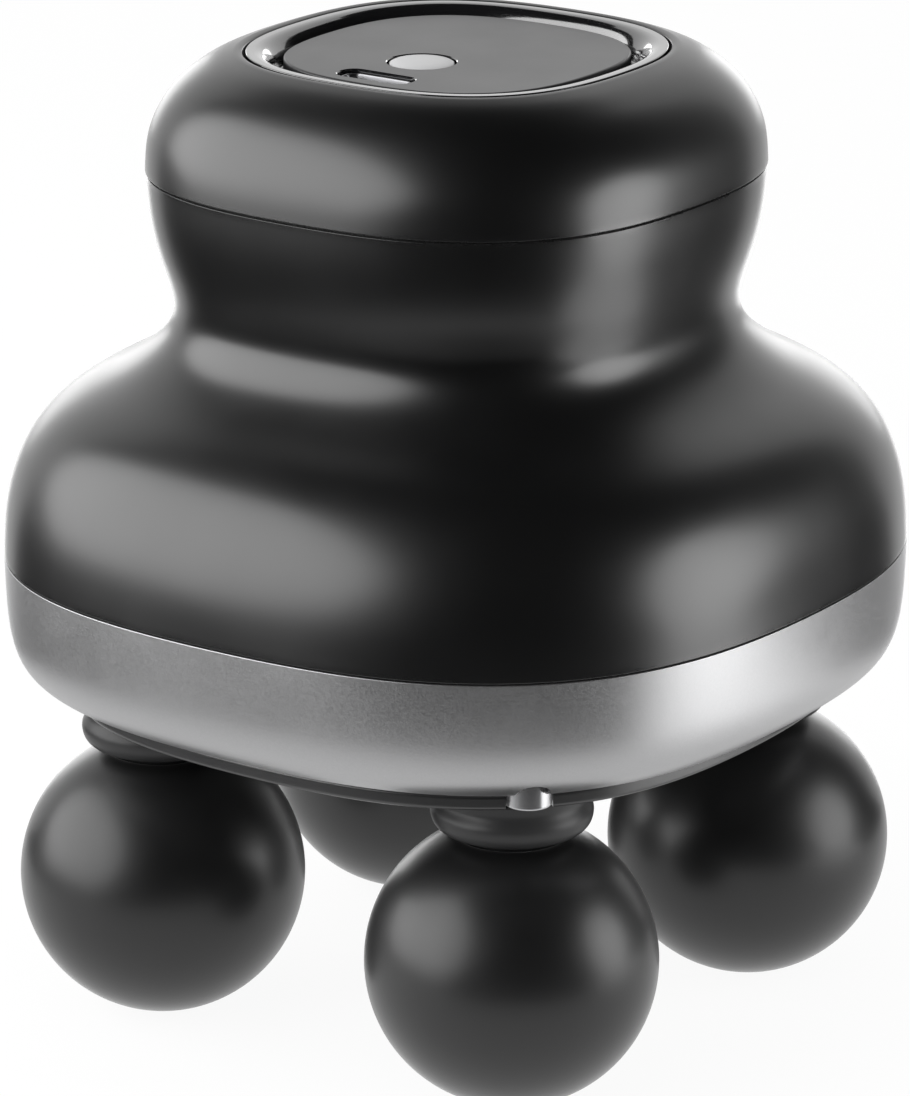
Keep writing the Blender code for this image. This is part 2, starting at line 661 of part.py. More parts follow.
def make_top_cap():
    """Rounded palm cap, open at the top, with a shelf that carries the bezel."""
    outer = cap_curve()
    shelf_bottom = CAP_SHELF_Z - CAP_SHELF_HEIGHT
    inner = [p for p in inset(outer, WALL) if CAP_SEAM_Z + LAP_HEIGHT < p[1] < shelf_bottom]
    bottom_z = outer[0][1]
    lap_z = bottom_z + LAP_HEIGHT + CLEARANCE
    shelf_radius = OPENING_RADIUS - CAP_SHELF_WIDTH
    profile = [
        *reversed(outer), (CAP_SEAM_RADIUS - LAP_WALL, bottom_z), (CAP_SEAM_RADIUS - LAP_WALL, lap_z),
        (CAP_SEAM_RADIUS - WALL, lap_z), *inner, (shelf_radius, shelf_bottom),
        (shelf_radius, CAP_SHELF_Z), (OPENING_RADIUS, CAP_SHELF_Z)]
    cap = add_part("top_cap", square_off(lathe("top_cap", profile, SHELL_STEPS, True)), soft_black())
    return smooth(cap)


def make_bezel_dish():
    """Glossy ring that slopes down to the groove round the control panel."""
    groove_radius = BEZEL_RADIUS - BEZEL_WIDTH
    slope = between((groove_radius, BEZEL_SHELF_Z), (BEZEL_RADIUS, BEZEL_TOP_Z), BEZEL_CURVE_SHARES)
    shelf_radius = groove_radius - BEZEL_SHELF_WIDTH
    bottom_z = BEZEL_SHELF_Z - BEZEL_FLOOR
    profile = [*reversed(slope[1:]), (groove_radius, BEZEL_SHELF_Z), (shelf_radius, BEZEL_SHELF_Z),
               (shelf_radius, bottom_z), (BEZEL_RADIUS, bottom_z)]
    profile.reverse()
    bezel = add_part("bezel_dish", square_off(lathe("bezel_dish", profile, SHELL_STEPS, True)),
                     gloss_black())
    return smooth(bezel)


def make_control_panel():
    """Raised panel with the button's hole, the port's slot and two posts for the circuit board."""
    edge_z = PANEL_TOP_Z - PANEL_EDGE
    profile = [(0.0, PANEL_TOP_Z), (PANEL_RADIUS - PANEL_EDGE, PANEL_TOP_Z), (PANEL_RADIUS, edge_z),
               (PANEL_RADIUS, PANEL_Z), (0.0, PANEL_Z)]
    panel = add_part("control_panel", square_off(lathe("control_panel", profile, SHELL_STEPS, False)),
                     panel_grey())
    for side in (-1, 1):
        post = rod_mesh("board_post", BOARD_POST_RADIUS, BOARD_TOP_Z + CLEARANCE, PANEL_Z + EMBED)
        join(panel, place(post, side * BOARD_POST_X, BOARD_POST_Y))
        pilot = rod_mesh("board_pilot", SMALL_SCREW_HOLE_RADIUS, BOARD_TOP_Z - OVERRUN,
                         BOARD_Z - CLEARANCE + SMALL_SCREW_LENGTH + CLEARANCE, SCREW_STEPS)
        cut(panel, place(pilot, side * BOARD_POST_X, BOARD_POST_Y))
    hole = rod_mesh("button_hole", BUTTON_RADIUS + CLEARANCE, PANEL_Z - OVERRUN, PANEL_TOP_Z + OVERRUN,
                    BALL_STEPS)
    cut(panel, place(hole, PANEL_FEATURES_X, BUTTON_Y))
    gap = 2 * CLEARANCE
    slot = box_mesh("port_slot", PORT_WIDTH + gap, PORT_DEPTH + gap, PANEL_Z - OVERRUN,
                    PANEL_TOP_Z + OVERRUN, PORT_DEPTH / 3)
    cut(panel, place(slot, PANEL_FEATURES_X, PORT_Y))
    return smooth(panel)


def make_power_button():
    """Button cap, held under the panel by its flange."""
    flange_top = PANEL_Z - CLEARANCE
    flange_radius = BUTTON_RADIUS + BUTTON_FLANGE_WIDTH
    flange_bottom = flange_top - BUTTON_FLANGE_HEIGHT
    boss_z = flange_bottom - BUTTON_BOSS_HEIGHT
    crown_z = PANEL_TOP_Z + BUTTON_DOME
    profile = [
        (0.0, crown_z), (BUTTON_RADIUS * 0.6, crown_z - BUTTON_DOME * 0.2),
        (BUTTON_RADIUS * 0.9, crown_z - BUTTON_DOME * 0.6), (BUTTON_RADIUS, PANEL_TOP_Z - BUTTON_DOME),
        (BUTTON_RADIUS, flange_top), (flange_radius, flange_top), (flange_radius, flange_bottom),
        (BUTTON_BOSS_RADIUS, flange_bottom), (BUTTON_BOSS_RADIUS, boss_z), (0.0, boss_z)]
    mesh = lathe("power_button", profile, BALL_STEPS, False)
    smooth(add_part("power_button", mesh, button_grey(), PANEL_FEATURES_X, BUTTON_Y))
    stem_top = boss_z - CLEARANCE
    stem = rod_mesh("switch_stem", SWITCH_STEM_RADIUS, stem_top - SWITCH_STEM_LENGTH, stem_top)
    smooth(add_part("switch_stem", stem, dark_plastic(), PANEL_FEATURES_X, BUTTON_Y))


def make_switch_body():
    body = add_part("switch_body", box_mesh("switch_body", SWITCH_SIZE, SWITCH_SIZE,
                                            BOARD_TOP_Z + CLEARANCE, SWITCH_TOP_Z),
                    dark_plastic(), PANEL_FEATURES_X, BUTTON_Y)
    bore = rod_mesh("switch_bore", SWITCH_STEM_RADIUS + CLEARANCE, SWITCH_TOP_Z - SWITCH_BORE_DEPTH,
                    SWITCH_TOP_Z + OVERRUN)
    cut(body, bore)


def make_circuit_board():
    """Round board hung under the panel, with a flat side towards the battery."""
    board = add_part("circuit_board", rod_mesh("circuit_board", BOARD_RADIUS, BOARD_Z, BOARD_TOP_Z,
                                               SHELL_STEPS), board_green())
    cutter_depth = BOARD_RADIUS
    flat = box_mesh("board_flat", BOARD_RADIUS * 2, cutter_depth, BOARD_Z - OVERRUN,
                    BOARD_TOP_Z + OVERRUN)
    cut(board, place(flat, 0.0, BOARD_FLAT_Y + cutter_depth / 2))
    for number, side in enumerate((-1, 1), start=1):
        x = side * BOARD_POST_X
        hole = rod_mesh("board_hole", SMALL_SCREW_HOLE_RADIUS, BOARD_Z - OVERRUN,
                        BOARD_TOP_Z + OVERRUN, SCREW_STEPS)
        cut(board, place(hole, x, BOARD_POST_Y))
        add_screw(f"board_screw_{number}", x, BOARD_POST_Y, BOARD_Z - CLEARANCE, small=True)


def make_port():
    """Metal shell of the charging socket, standing on the board, and its tongue."""
    low = BOARD_TOP_Z + CLEARANCE
    shell = add_part("port_shell", box_mesh("port_shell", PORT_WIDTH, PORT_DEPTH, low,
                                            PANEL_TOP_Z - PORT_RECESS, PORT_DEPTH / 3),
                     steel(), PANEL_FEATURES_X, PORT_Y)
    walls = 2 * PORT_WALL
    cut(shell, box_mesh("port_mouth", PORT_WIDTH - walls, PORT_DEPTH - walls, low + PORT_FLOOR,
                        PANEL_TOP_Z, (PORT_DEPTH - walls) / 3))
    floor_z = low + PORT_FLOOR + CLEARANCE
    add_part("port_tongue", box_mesh("port_tongue", TONGUE_WIDTH, TONGUE_DEPTH, floor_z,
                                     floor_z + TONGUE_LENGTH),
             dark_plastic(), PANEL_FEATURES_X, PORT_Y)


def screw_mesh(name, top_z, small=False):
    """A screw driven upwards: its head is below top_z, its shank above."""
    head = SMALL_SCREW_HEAD_RADIUS if small else SCREW_HEAD_RADIUS
    height = SMALL_SCREW_HEAD_HEIGHT if small else SCREW_HEAD_HEIGHT
    radius = SMALL_SCREW_RADIUS if small else SCREW_RADIUS
    length = SMALL_SCREW_LENGTH if small else SCREW_LENGTH
    low = top_z - height
    recess_z = low + SCREW_RECESS_DEPTH
    profile = [
        (0.0, top_z + length), (radius, top_z + length), (radius, top_z), (head, top_z),
        (head, low), (SCREW_RECESS_RADIUS, low), (SCREW_RECESS_RADIUS, recess_z), (0.0, recess_z)]
    return lathe(name, profile, SCREW_STEPS, False)


def add_screw(name, x, y, top_z, small=False):
    smooth(add_part(name, screw_mesh(name, top_z, small), steel(), x, y))


def make_screws():
    """Screws through the base plate, and the two that hold the motor to its bracket."""
    seat_z = UNDERSIDE_Z + SCREW_HEAD_HEIGHT
    for group, offset in (("chassis_screw", LEG_OFFSET), ("grip_screw", COLUMN_OFFSET)):
        for side, turn in SIDES:
            add_screw(f"{group}_{side}", offset * math.cos(turn), offset * math.sin(turn), seat_z)
    add_screw("post_screw", 0.0, 0.0, seat_z)
    for number, side in enumerate((-1, 1), start=1):
        add_screw(f"motor_screw_{number}", side * MOTOR_SCREW_OFFSET, 0.0, BRACKET_Z - CLEARANCE,
                  small=True)


def make_motor_bracket():
    """Chassis plate under the motor, on four legs that stand on the base plate."""
    bracket = add_part("motor_bracket", rod_mesh("motor_bracket", BRACKET_RADIUS, BRACKET_Z,
                                                 BRACKET_TOP_Z, SHELL_STEPS), dark_plastic())
    leg_z = PLATE_FLOOR_Z + CLEARANCE
    for _, turn in SIDES:
        x, y = LEG_OFFSET * math.cos(turn), LEG_OFFSET * math.sin(turn)
        join(bracket, place(rod_mesh("leg", LEG_RADIUS, leg_z, BRACKET_Z + EMBED), x, y))
        pilot = rod_mesh("leg_pilot", SCREW_HOLE_RADIUS, leg_z - OVERRUN, leg_z + SCREW_LENGTH,
                         SCREW_STEPS)
        cut(bracket, place(pilot, x, y))
    nose = rod_mesh("nose_hole", MOTOR_NOSE_RADIUS + CLEARANCE, BRACKET_Z - OVERRUN,
                    BRACKET_TOP_Z + OVERRUN)
    cut(bracket, nose)
    for side in (-1, 1):
        hole = rod_mesh("motor_hole", SMALL_SCREW_HOLE_RADIUS, BRACKET_Z - OVERRUN,
                        BRACKET_TOP_Z + OVERRUN, SCREW_STEPS)
        cut(bracket, place(hole, side * MOTOR_SCREW_OFFSET))
    return smooth(bracket)


def make_motor():
    """Motor can with its nose in the bracket, its end cap, and the shaft that turns the crank."""
    bore_radius = SHAFT_RADIUS + CLEARANCE
    nose_z = BRACKET_Z + CLEARANCE
    bore_top = MOTOR_Z + SHAFT_ENGAGE
    profile = [
        (0.0, MOTOR_TOP_Z), (MOTOR_RADIUS - MOTOR_EDGE, MOTOR_TOP_Z),
        (MOTOR_RADIUS, MOTOR_TOP_Z - MOTOR_EDGE), (MOTOR_RADIUS, MOTOR_Z), (MOTOR_NOSE_RADIUS, MOTOR_Z),
        (MOTOR_NOSE_RADIUS, nose_z), (bore_radius, nose_z), (bore_radius, bore_top), (0.0, bore_top)]
    can = add_part("motor_can", lathe("motor_can", profile, BALL_STEPS, False), steel())
    for side in (-1, 1):
        pilot = rod_mesh("motor_pilot", SMALL_SCREW_HOLE_RADIUS, MOTOR_Z - OVERRUN,
                         BRACKET_Z + SMALL_SCREW_LENGTH, SCREW_STEPS)
        cut(can, place(pilot, side * MOTOR_SCREW_OFFSET))
    smooth(can)
    cap_radius = MOTOR_RADIUS - MOTOR_EDGE - MOTOR_CAP_INSET
    cap_z = MOTOR_TOP_Z + CLEARANCE
    cap = rod_mesh("motor_endcap", cap_radius, cap_z, cap_z + MOTOR_CAP_HEIGHT)
    smooth(add_part("motor_endcap", cap, dark_plastic()))
    shaft = rod_mesh("motor_shaft", SHAFT_RADIUS, SOCKET_TOP_Z + 2 * CLEARANCE, bore_top - CLEARANCE)
    smooth(add_part("motor_shaft", shaft, steel()))


def make_crank_hub():
    """Disc on the motor shaft whose off-centre socket leads the stem of the wobble plate."""
    profile = [
        (0.0, CRANK_TOP_Z), (CRANK_BOSS_RADIUS, CRANK_TOP_Z), (CRANK_BOSS_RADIUS, CRANK_DISC_TOP_Z),
        (CRANK_DISC_RADIUS, CRANK_DISC_TOP_Z), (CRANK_DISC_RADIUS, SOCKET_TOP_Z), (0.0, SOCKET_TOP_Z)]
    hub = add_part("crank_hub", lathe("crank_hub", profile, BALL_STEPS, False), brass())
    skirt = rod_mesh("socket_wall", SOCKET_RADIUS + SOCKET_WALL, CRANK_BOTTOM_Z, SOCKET_TOP_Z + EMBED,
                     BALL_STEPS)
    join(hub, place(skirt, ECCENTRICITY))
    socket = rod_mesh("socket", SOCKET_RADIUS, CRANK_BOTTOM_Z - OVERRUN, SOCKET_TOP_Z - CLEARANCE / 2,
                      BALL_STEPS)
    cut(hub, place(socket, ECCENTRICITY))
    flat_width = CRANK_DISC_RADIUS
    flat = box_mesh("crank_flat", flat_width, CRANK_DISC_RADIUS * 3, SOCKET_TOP_Z + EMBED + CLEARANCE,
                    CRANK_DISC_TOP_Z + OVERRUN)
    cut(hub, place(flat, CRANK_FLAT_OFFSET + flat_width / 2))
    bore = rod_mesh("shaft_bore", SHAFT_RADIUS + CLEARANCE, SOCKET_TOP_Z + CLEARANCE,
                    CRANK_TOP_Z + OVERRUN)
    cut(hub, bore)
    return smooth(hub)


def make_wobble_plate():
    """Cup over the universal joint, with the driven stem on top and four arms to the plungers."""
    bottom = PIVOT_Z - HUB_DROP
    roof = PIVOT_Z + HUB_RISE
    bore = HUB_RADIUS - HUB_WALL
    neck_angle = math.asin(STEM_RADIUS / STEM_TIP_RADIUS)
    tip = arc(0.0, STEM_TIP_Z, STEM_TIP_RADIUS, math.pi / 2, neck_angle - math.pi / 2, 4)
    tip[0] = (0.0, STEM_TIP_Z + STEM_TIP_RADIUS)
    profile = [*tip, (STEM_RADIUS, HUB_TOP_Z), (HUB_RADIUS, HUB_TOP_Z), (HUB_RADIUS, bottom),
               (bore, bottom), (bore, roof), (0.0, roof)]
    plate = add_part("wobble_plate", lathe("wobble_plate", profile, BALL_STEPS, False),
                     bearing_plastic())
    arm_start = HUB_RADIUS - HUB_WALL / 2
    arm_end = BALL_CIRCLE_RADIUS - HEAD_WIDTH / 2 - ARM_END_GAP
    for _, sx, sy in CORNERS:
        turn = math.atan2(sy, sx)
        arm = box_mesh("arm", ARM_HEIGHT, ARM_WIDTH, arm_start, arm_end)
        join(plate, lay_along(arm, PIVOT_Z, turn))
        neck = rod_mesh("arm_neck", ARM_NECK_RADIUS, arm_end - OVERRUN, BALL_CIRCLE_RADIUS, 8)
        join(plate, lay_along(neck, PIVOT_Z, turn))
        knob = ball_mesh("arm_ball", ARM_BALL_RADIUS)
        knob.transform(Matrix.Translation((sx * BALL_OFFSET, sy * BALL_OFFSET, PIVOT_Z)))
        join(plate, knob)
    reach = (HUB_RADIUS - CLEARANCE) * 2
    bearing = rod_mesh("plate_bearing", TRUNNION_HOLE_RADIUS, -reach / 2, reach / 2)
    cut(plate, lay_along(bearing, PIVOT_Z, -math.pi / 4))
    return smooth(plate)


def make_gimbal_cross():
    """Cross of the universal joint: short pins in the post's ears, long pins in the plate."""
    half = CROSS_BLOCK / 2
    cross = add_part("gimbal_cross", box_mesh("gimbal_cross", CROSS_BLOCK, CROSS_BLOCK,
                                              PIVOT_Z - half, PIVOT_Z + half), steel(),
                     turn=math.pi / 4)
    short = EAR_OUTER - CLEARANCE
    join(cross, lay_along(rod_mesh("short_pin", TRUNNION_RADIUS, -short, short, 16), PIVOT_Z, 0.0))
    long = HUB_RADIUS - 2 * CLEARANCE
    join(cross, lay_along(rod_mesh("long_pin", TRUNNION_RADIUS, -long, long, 16), PIVOT_Z,
                          -math.pi / 2))
    return smooth(cross)


def make_pivot_post():
    """Post on the base plate; its two ears carry the cross along the left-to-right diagonal."""
    low = PLATE_FLOOR_Z + CLEARANCE
    shoulder = PIVOT_Z - POST_GAP
    post = add_part("pivot_post", rod_mesh("pivot_post", POST_RADIUS, low, shoulder, BALL_STEPS),
                    dark_plastic(), turn=math.pi / 4)
    for side in (-1, 1):
        ear = box_mesh("ear", EAR_THICKNESS, EAR_WIDTH, shoulder - EMBED, PIVOT_Z + EAR_RISE)
        join(post, place(ear, side * (EAR_INNER + EAR_OUTER) / 2))
    reach = EAR_OUTER + OVERRUN
    cut(post, lay_along(rod_mesh("ear_bore", TRUNNION_HOLE_RADIUS, -reach, reach), PIVOT_Z, 0.0))
    pilot = rod_mesh("post_pilot", SCREW_HOLE_RADIUS, low - OVERRUN, low + SCREW_LENGTH, SCREW_STEPS)
    cut(post, pilot)
    return smooth(post)


def plunger_mesh(name):
    """The plunger's rod, which ends in the insert of its ball."""
    return rod_mesh(name, ROD_RADIUS, INSERT_BOTTOM_Z + INSERT_FLOOR + CLEARANCE,
                    HEAD_BOTTOM_Z + EMBED)


def make_plunger(corner, sx, sy):
    """Rod with a slotted head that takes the ball end of one arm."""
    turn = math.atan2(sy, sx)
    plunger = add_part(f"plunger_{corner}", plunger_mesh(f"plunger_{corner}"), steel(),
                       sx * BALL_OFFSET, sy * BALL_OFFSET, turn)
    join(plunger, box_mesh("head", HEAD_WIDTH, HEAD_WIDTH, HEAD_BOTTOM_Z, HEAD_TOP_Z))
    slot_length = HEAD_WIDTH - HEAD_WEB + OVERRUN
    slot = box_mesh("head_slot", slot_length, HEAD_WIDTH + OVERRUN, PIVOT_Z - HEAD_SLOT_HALF,
                    PIVOT_Z + HEAD_SLOT_HALF)
    cut(plunger, place(slot, HEAD_WIDTH / 2 - HEAD_WEB - slot_length / 2))
    smooth(plunger)


def bush_mesh(name):
    """Guide sleeve with a flange on the boss."""
    flange_radius = BUSH_RADIUS + BUSH_FLANGE_WIDTH
    flange_z = BOSS_TOP_Z + CLEARANCE
    profile = [
        (flange_radius, BUSH_TOP_Z), (flange_radius, flange_z), (BUSH_RADIUS, flange_z),
        (BUSH_RADIUS, UNDERSIDE_Z + BUSH_INSET), (BUSH_BORE_RADIUS, UNDERSIDE_Z + BUSH_INSET),
        (BUSH_BORE_RADIUS, BUSH_TOP_Z)]
    return lathe(name, profile, ROD_STEPS, True)


def boot_mesh(name):
    """Rubber boot: a bowl against the base plate that folds in to a neck in the ball's recess."""
    height = BOOT_TOP_Z - BOOT_BOTTOM_Z
    width = BOOT_RADIUS - BOOT_NECK_RADIUS
    bowl = curve_through([(BOOT_NECK_RADIUS + width * across, BOOT_TOP_Z - height * down)
                          for down, across in BOOT_SHARES], 1)
    last_r, last_z = bowl[-1]
    neck = []
    for i in range(1, 4):
        share = i / 4
        fold = BOOT_FOLD_DEPTH * math.sin(math.pi * share)
        neck.append((last_r + (BOOT_NECK_RADIUS - last_r) * share - fold,
                     last_z + (BOOT_BOTTOM_Z - last_z) * share))
    outer = bowl + neck + [(BOOT_NECK_RADIUS, BOOT_BOTTOM_Z)]
    inner = inset(list(reversed(outer)), BOOT_WALL)[::BOOT_WALL_STEPS]
    inner = [(r, min(max(z, BOOT_BOTTOM_Z), BOOT_TOP_Z)) for r, z in inner]
    inner[0] = (inner[0][0], BOOT_BOTTOM_Z)
    inner[-1] = (inner[-1][0], BOOT_TOP_Z)
    return lathe(name, outer + inner, BOOT_STEPS, True)


def ball_solid(name):
    """Rubber ball with a flat foot, and a stepped bore from the top for the boot and the insert."""
    foot_angle = -math.acos(math.sqrt(BALL_RADIUS ** 2 - BALL_Z ** 2) / BALL_RADIUS)
    rim_angle = math.acos((RECESS_RADIUS + RECESS_RIM) / BALL_RADIUS)
    bore = INSERT_RADIUS + CLEARANCE
    bore_z = INSERT_BOTTOM_Z - CLEARANCE
    side = arc(0.0, BALL_Z, BALL_RADIUS, rim_angle, foot_angle, BALL_ARC_STEPS)
    side[-1] = (side[-1][0], 0.0)
    rim_z = side[0][1]
    profile = [
        (0.0, bore_z), (bore, bore_z), (bore, RECESS_FLOOR_Z), (RECESS_RADIUS, RECESS_FLOOR_Z),
        (RECESS_RADIUS, rim_z - RECESS_RIM / 3), (RECESS_RADIUS + RECESS_RIM / 2, rim_z),
        *side, (0.0, 0.0)]
    return lathe(name, profile, BALL_STEPS, False)


def insert_mesh(name):
    """Brass insert moulded into the ball; the plunger's rod ends in it."""
    bore = ROD_RADIUS + CLEARANCE
    floor_z = INSERT_BOTTOM_Z + INSERT_FLOOR
    shoulder = INSERT_TOP_Z - INSERT_FLANGE_HEIGHT
    profile = [
        (0.0, floor_z), (bore, floor_z), (bore, INSERT_TOP_Z), (INSERT_FLANGE_RADIUS, INSERT_TOP_Z),
        (INSERT_FLANGE_RADIUS, shoulder), (INSERT_RADIUS, shoulder), (INSERT_RADIUS, INSERT_BOTTOM_Z),
        (0.0, INSERT_BOTTOM_Z)]
    return lathe(name, profile, ROD_STEPS, False)


def make_corners():
    """The four sets of plunger, bush, boot, ball and insert."""
    pieces = (("guide_bush", bush_mesh, brass), ("boot", boot_mesh, boot_rubber),
              ("ball", ball_solid, ball_rubber), ("ball_insert", insert_mesh, brass))
    for corner, sx, sy in CORNERS:
        make_plunger(corner, sx, sy)
        for kind, maker, look in pieces:
            name = f"{kind}_{corner}"
            thing = add_part(name, maker(name), look(), sx * BALL_OFFSET, sy * BALL_OFFSET)
            smooth(thing)


def make_battery():
    """Pouch cell that stands behind the motor in an open tray on the bracket."""
    tray_low = BRACKET_TOP_Z + CLEARANCE
    floor_z = tray_low + TRAY_WALL
    walls = 2 * (TRAY_WALL + CLEARANCE)
    tray = add_part("battery_tray", box_mesh("battery_tray", BATTERY_WIDTH + walls,
                                             BATTERY_DEPTH + walls, tray_low, floor_z + TRAY_HEIGHT,
                                             BATTERY_ROUND + TRAY_WALL),
                    dark_plastic(), 0.0, BATTERY_Y)
    gap = 2 * CLEARANCE
    cut(tray, box_mesh("tray_room", BATTERY_WIDTH + gap, BATTERY_DEPTH + gap, floor_z,
                       floor_z + TRAY_HEIGHT + OVERRUN, BATTERY_ROUND))
    cell = box_mesh("battery_cell", BATTERY_WIDTH, BATTERY_DEPTH, BATTERY_Z, BATTERY_TOP_Z,
                    BATTERY_ROUND)
    add_part("battery_cell", cell, battery_foil(), 0.0, BATTERY_Y)
    smooth(tray)


def build():
    make_base_plate()
    make_base_band()
    make_grip_body()
    make_top_cap()
    make_bezel_dish()
    make_control_panel()
    make_power_button()
    make_switch_body()
    make_circuit_board()
    make_port()
    make_battery()
    make_motor_bracket()
    make_motor()
    make_crank_hub()
    make_wobble_plate()
    make_gimbal_cross()
    make_pivot_post()
    make_corners()
    make_screws()


clear_scene()
parts = new_collection(PARTS_NAME)
cutters = new_collection(CUTTERS_NAME)
build()
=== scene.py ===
# %% [markdown]
# # A palm-held percussion massager, dressed over its imported model
# The imported model gives every piece its place and its motion, and nothing of it is moved here.
# Each piece that shows gets a finer mesh, which rides the same body everywhere but at the boots,
# and every hidden node gets a finish of its own.

# %% Load the imported model
import json
import math

import bmesh
import bpy
from mathutils import Matrix, Vector


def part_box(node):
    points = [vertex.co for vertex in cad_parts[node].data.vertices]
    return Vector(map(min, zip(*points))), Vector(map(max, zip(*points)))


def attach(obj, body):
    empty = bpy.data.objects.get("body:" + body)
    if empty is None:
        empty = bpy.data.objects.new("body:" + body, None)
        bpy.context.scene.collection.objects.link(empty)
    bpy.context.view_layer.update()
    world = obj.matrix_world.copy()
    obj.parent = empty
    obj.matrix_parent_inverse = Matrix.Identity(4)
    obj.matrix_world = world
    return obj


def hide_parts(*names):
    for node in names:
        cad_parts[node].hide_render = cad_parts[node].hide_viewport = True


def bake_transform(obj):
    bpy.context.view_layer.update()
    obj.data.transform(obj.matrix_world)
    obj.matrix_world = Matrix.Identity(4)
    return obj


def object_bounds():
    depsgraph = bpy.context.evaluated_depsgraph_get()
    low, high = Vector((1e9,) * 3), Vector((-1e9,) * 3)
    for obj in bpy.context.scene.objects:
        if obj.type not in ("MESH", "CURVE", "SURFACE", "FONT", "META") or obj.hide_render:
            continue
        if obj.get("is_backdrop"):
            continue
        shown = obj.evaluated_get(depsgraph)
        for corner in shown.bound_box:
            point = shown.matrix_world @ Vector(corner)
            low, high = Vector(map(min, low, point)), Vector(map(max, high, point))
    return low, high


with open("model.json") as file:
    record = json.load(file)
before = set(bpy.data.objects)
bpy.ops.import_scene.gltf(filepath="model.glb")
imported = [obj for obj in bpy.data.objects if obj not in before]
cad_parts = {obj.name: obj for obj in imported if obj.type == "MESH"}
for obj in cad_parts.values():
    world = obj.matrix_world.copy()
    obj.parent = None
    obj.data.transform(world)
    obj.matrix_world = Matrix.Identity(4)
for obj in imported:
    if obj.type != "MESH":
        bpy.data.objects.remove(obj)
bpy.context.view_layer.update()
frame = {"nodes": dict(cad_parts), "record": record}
slot_of = {row["node"]: row["material_slot"] for row in frame["record"]["subparts"]}

# %% [markdown]
# ## Camera
# A long lens from a little above, as in the photograph. The picture's centre isn't the lens's
# centre, because the picture is cropped close to the object, so the camera gets a small shift.
# Blender measures that shift in shares of the longer side.

# %% Camera
MM = 0.001
IMAGE_WIDTH, IMAGE_HEIGHT = 910, 1096
FOCAL_PIXELS = 6025.8
LENS_CENTRE = (457.6, 483.7)
CAMERA_AZIMUTH = 35.0
CAMERA_ELEVATION = 17.2
CAMERA_DISTANCE = 680 * MM
CAMERA_TARGET = Vector((0.0, 0.0, 59.93 * MM))


def towards(azimuth, elevation):
    """The direction from the object to a place that is seen at these angles, in degrees."""
    turn, rise = math.radians(azimuth), math.radians(elevation)
    return Vector((math.sin(turn) * math.cos(rise), -math.cos(turn) * math.cos(rise), math.sin(rise)))


def aim(name, data, place, target):
    """Puts a camera or a lamp at a place, with its -Z towards the target."""
    thing = bpy.data.objects.new(name, data)
    thing.location = place
    thing.rotation_euler = (target - place).to_track_quat("-Z", "Y").to_euler()
    bpy.context.scene.collection.objects.link(thing)
    return thing


camera_data = bpy.data.cameras.new("camera")
camera_data.lens = FOCAL_PIXELS * camera_data.sensor_width / IMAGE_HEIGHT
camera_data.shift_x = (IMAGE_WIDTH / 2 - LENS_CENTRE[0]) / IMAGE_HEIGHT
camera_data.shift_y = (LENS_CENTRE[1] - IMAGE_HEIGHT / 2) / IMAGE_HEIGHT
camera_place = CAMERA_TARGET + towards(CAMERA_AZIMUTH, CAMERA_ELEVATION) * CAMERA_DISTANCE
bpy.context.scene.camera = aim("camera", camera_data, camera_place, CAMERA_TARGET)
print(f"lens {camera_data.lens:.1f} mm, camera at {tuple(round(v, 4) for v in camera_place)}")

# %% [markdown]
# ## Node trees as Python expressions
# Materials and shapes are both node trees here. A socket is wrapped in a small class, and
# arithmetic on it adds the Math nodes, so that a formula reads as a formula.


# %% One socket, and one tree
class Wire:
    """An output socket. Arithmetic on it adds Math nodes to its tree."""

    def __init__(self, graph, socket):
        self.graph = graph
        self.socket = socket

    def out(self, name):
        """Another output of the same node."""
        return Wire(self.graph, self.socket.node.outputs[name])

    def op(self, operation, *others):
        return self.graph.math(operation, self, *others)

    def __add__(self, other):
        return self.graph.math("ADD", self, other)

    def __radd__(self, other):
        return self.graph.math("ADD", other, self)

    def __sub__(self, other):
        return self.graph.math("SUBTRACT", self, other)

    def __rsub__(self, other):
        return self.graph.math("SUBTRACT", other, self)

    def __mul__(self, other):
        return self.graph.math("MULTIPLY", self, other)

    def __rmul__(self, other):
        return self.graph.math("MULTIPLY", other, self)

    def below(self, limit, blur):
        """1 where this is well below the limit and 0 well above it, with a soft edge."""
        return self.graph.node("ShaderNodeMapRange", {"interpolation_type": "SMOOTHSTEP"},
                               {"Value": self, "From Min": limit - blur, "From Max": limit + blur,
                                "To Min": 1.0, "To Max": 0.0})


class Graph:
    """One shader or geometry tree."""

    def __init__(self, tree):
        self.tree = tree

    def node(self, kind, settings=None, inputs=None, output=0):
        """Adds a node, makes its settings first, and gives its sockets values or links."""
        made = self.tree.nodes.new(kind)
        for name, value in (settings or {}).items():
            setattr(made, name, value)
        for key, value in (inputs or {}).items():
            for link in value if isinstance(value, list) else [value]:
                if isinstance(link, Wire):
                    self.tree.links.new(link.socket, made.inputs[key])
                else:
                    made.inputs[key].default_value = link
        return Wire(self, made.outputs[output]) if made.outputs else None

    def math(self, operation, *values):
        return self.node("ShaderNodeMath", {"operation": operation}, dict(enumerate(values)))

    def mix(self, share, first, second):
        """A colour between two colours."""
        return self.node("ShaderNodeMix", {"data_type": "RGBA"}, {0: share, 6: first, 7: second}, 2)

    def given(self, name):
        """A value that comes from outside a geometry tree."""
        return self.node("NodeGroupInput", output=name)


# %% [markdown]
# ## Measures
# The outline of the body is a row of mean radii and heights, in millimetres, from the band's lower
# edge to the rim of the opening. In plan every shell is a rounded square: its radius grows by four
# percent towards the corners and shrinks by four percent towards the flats.

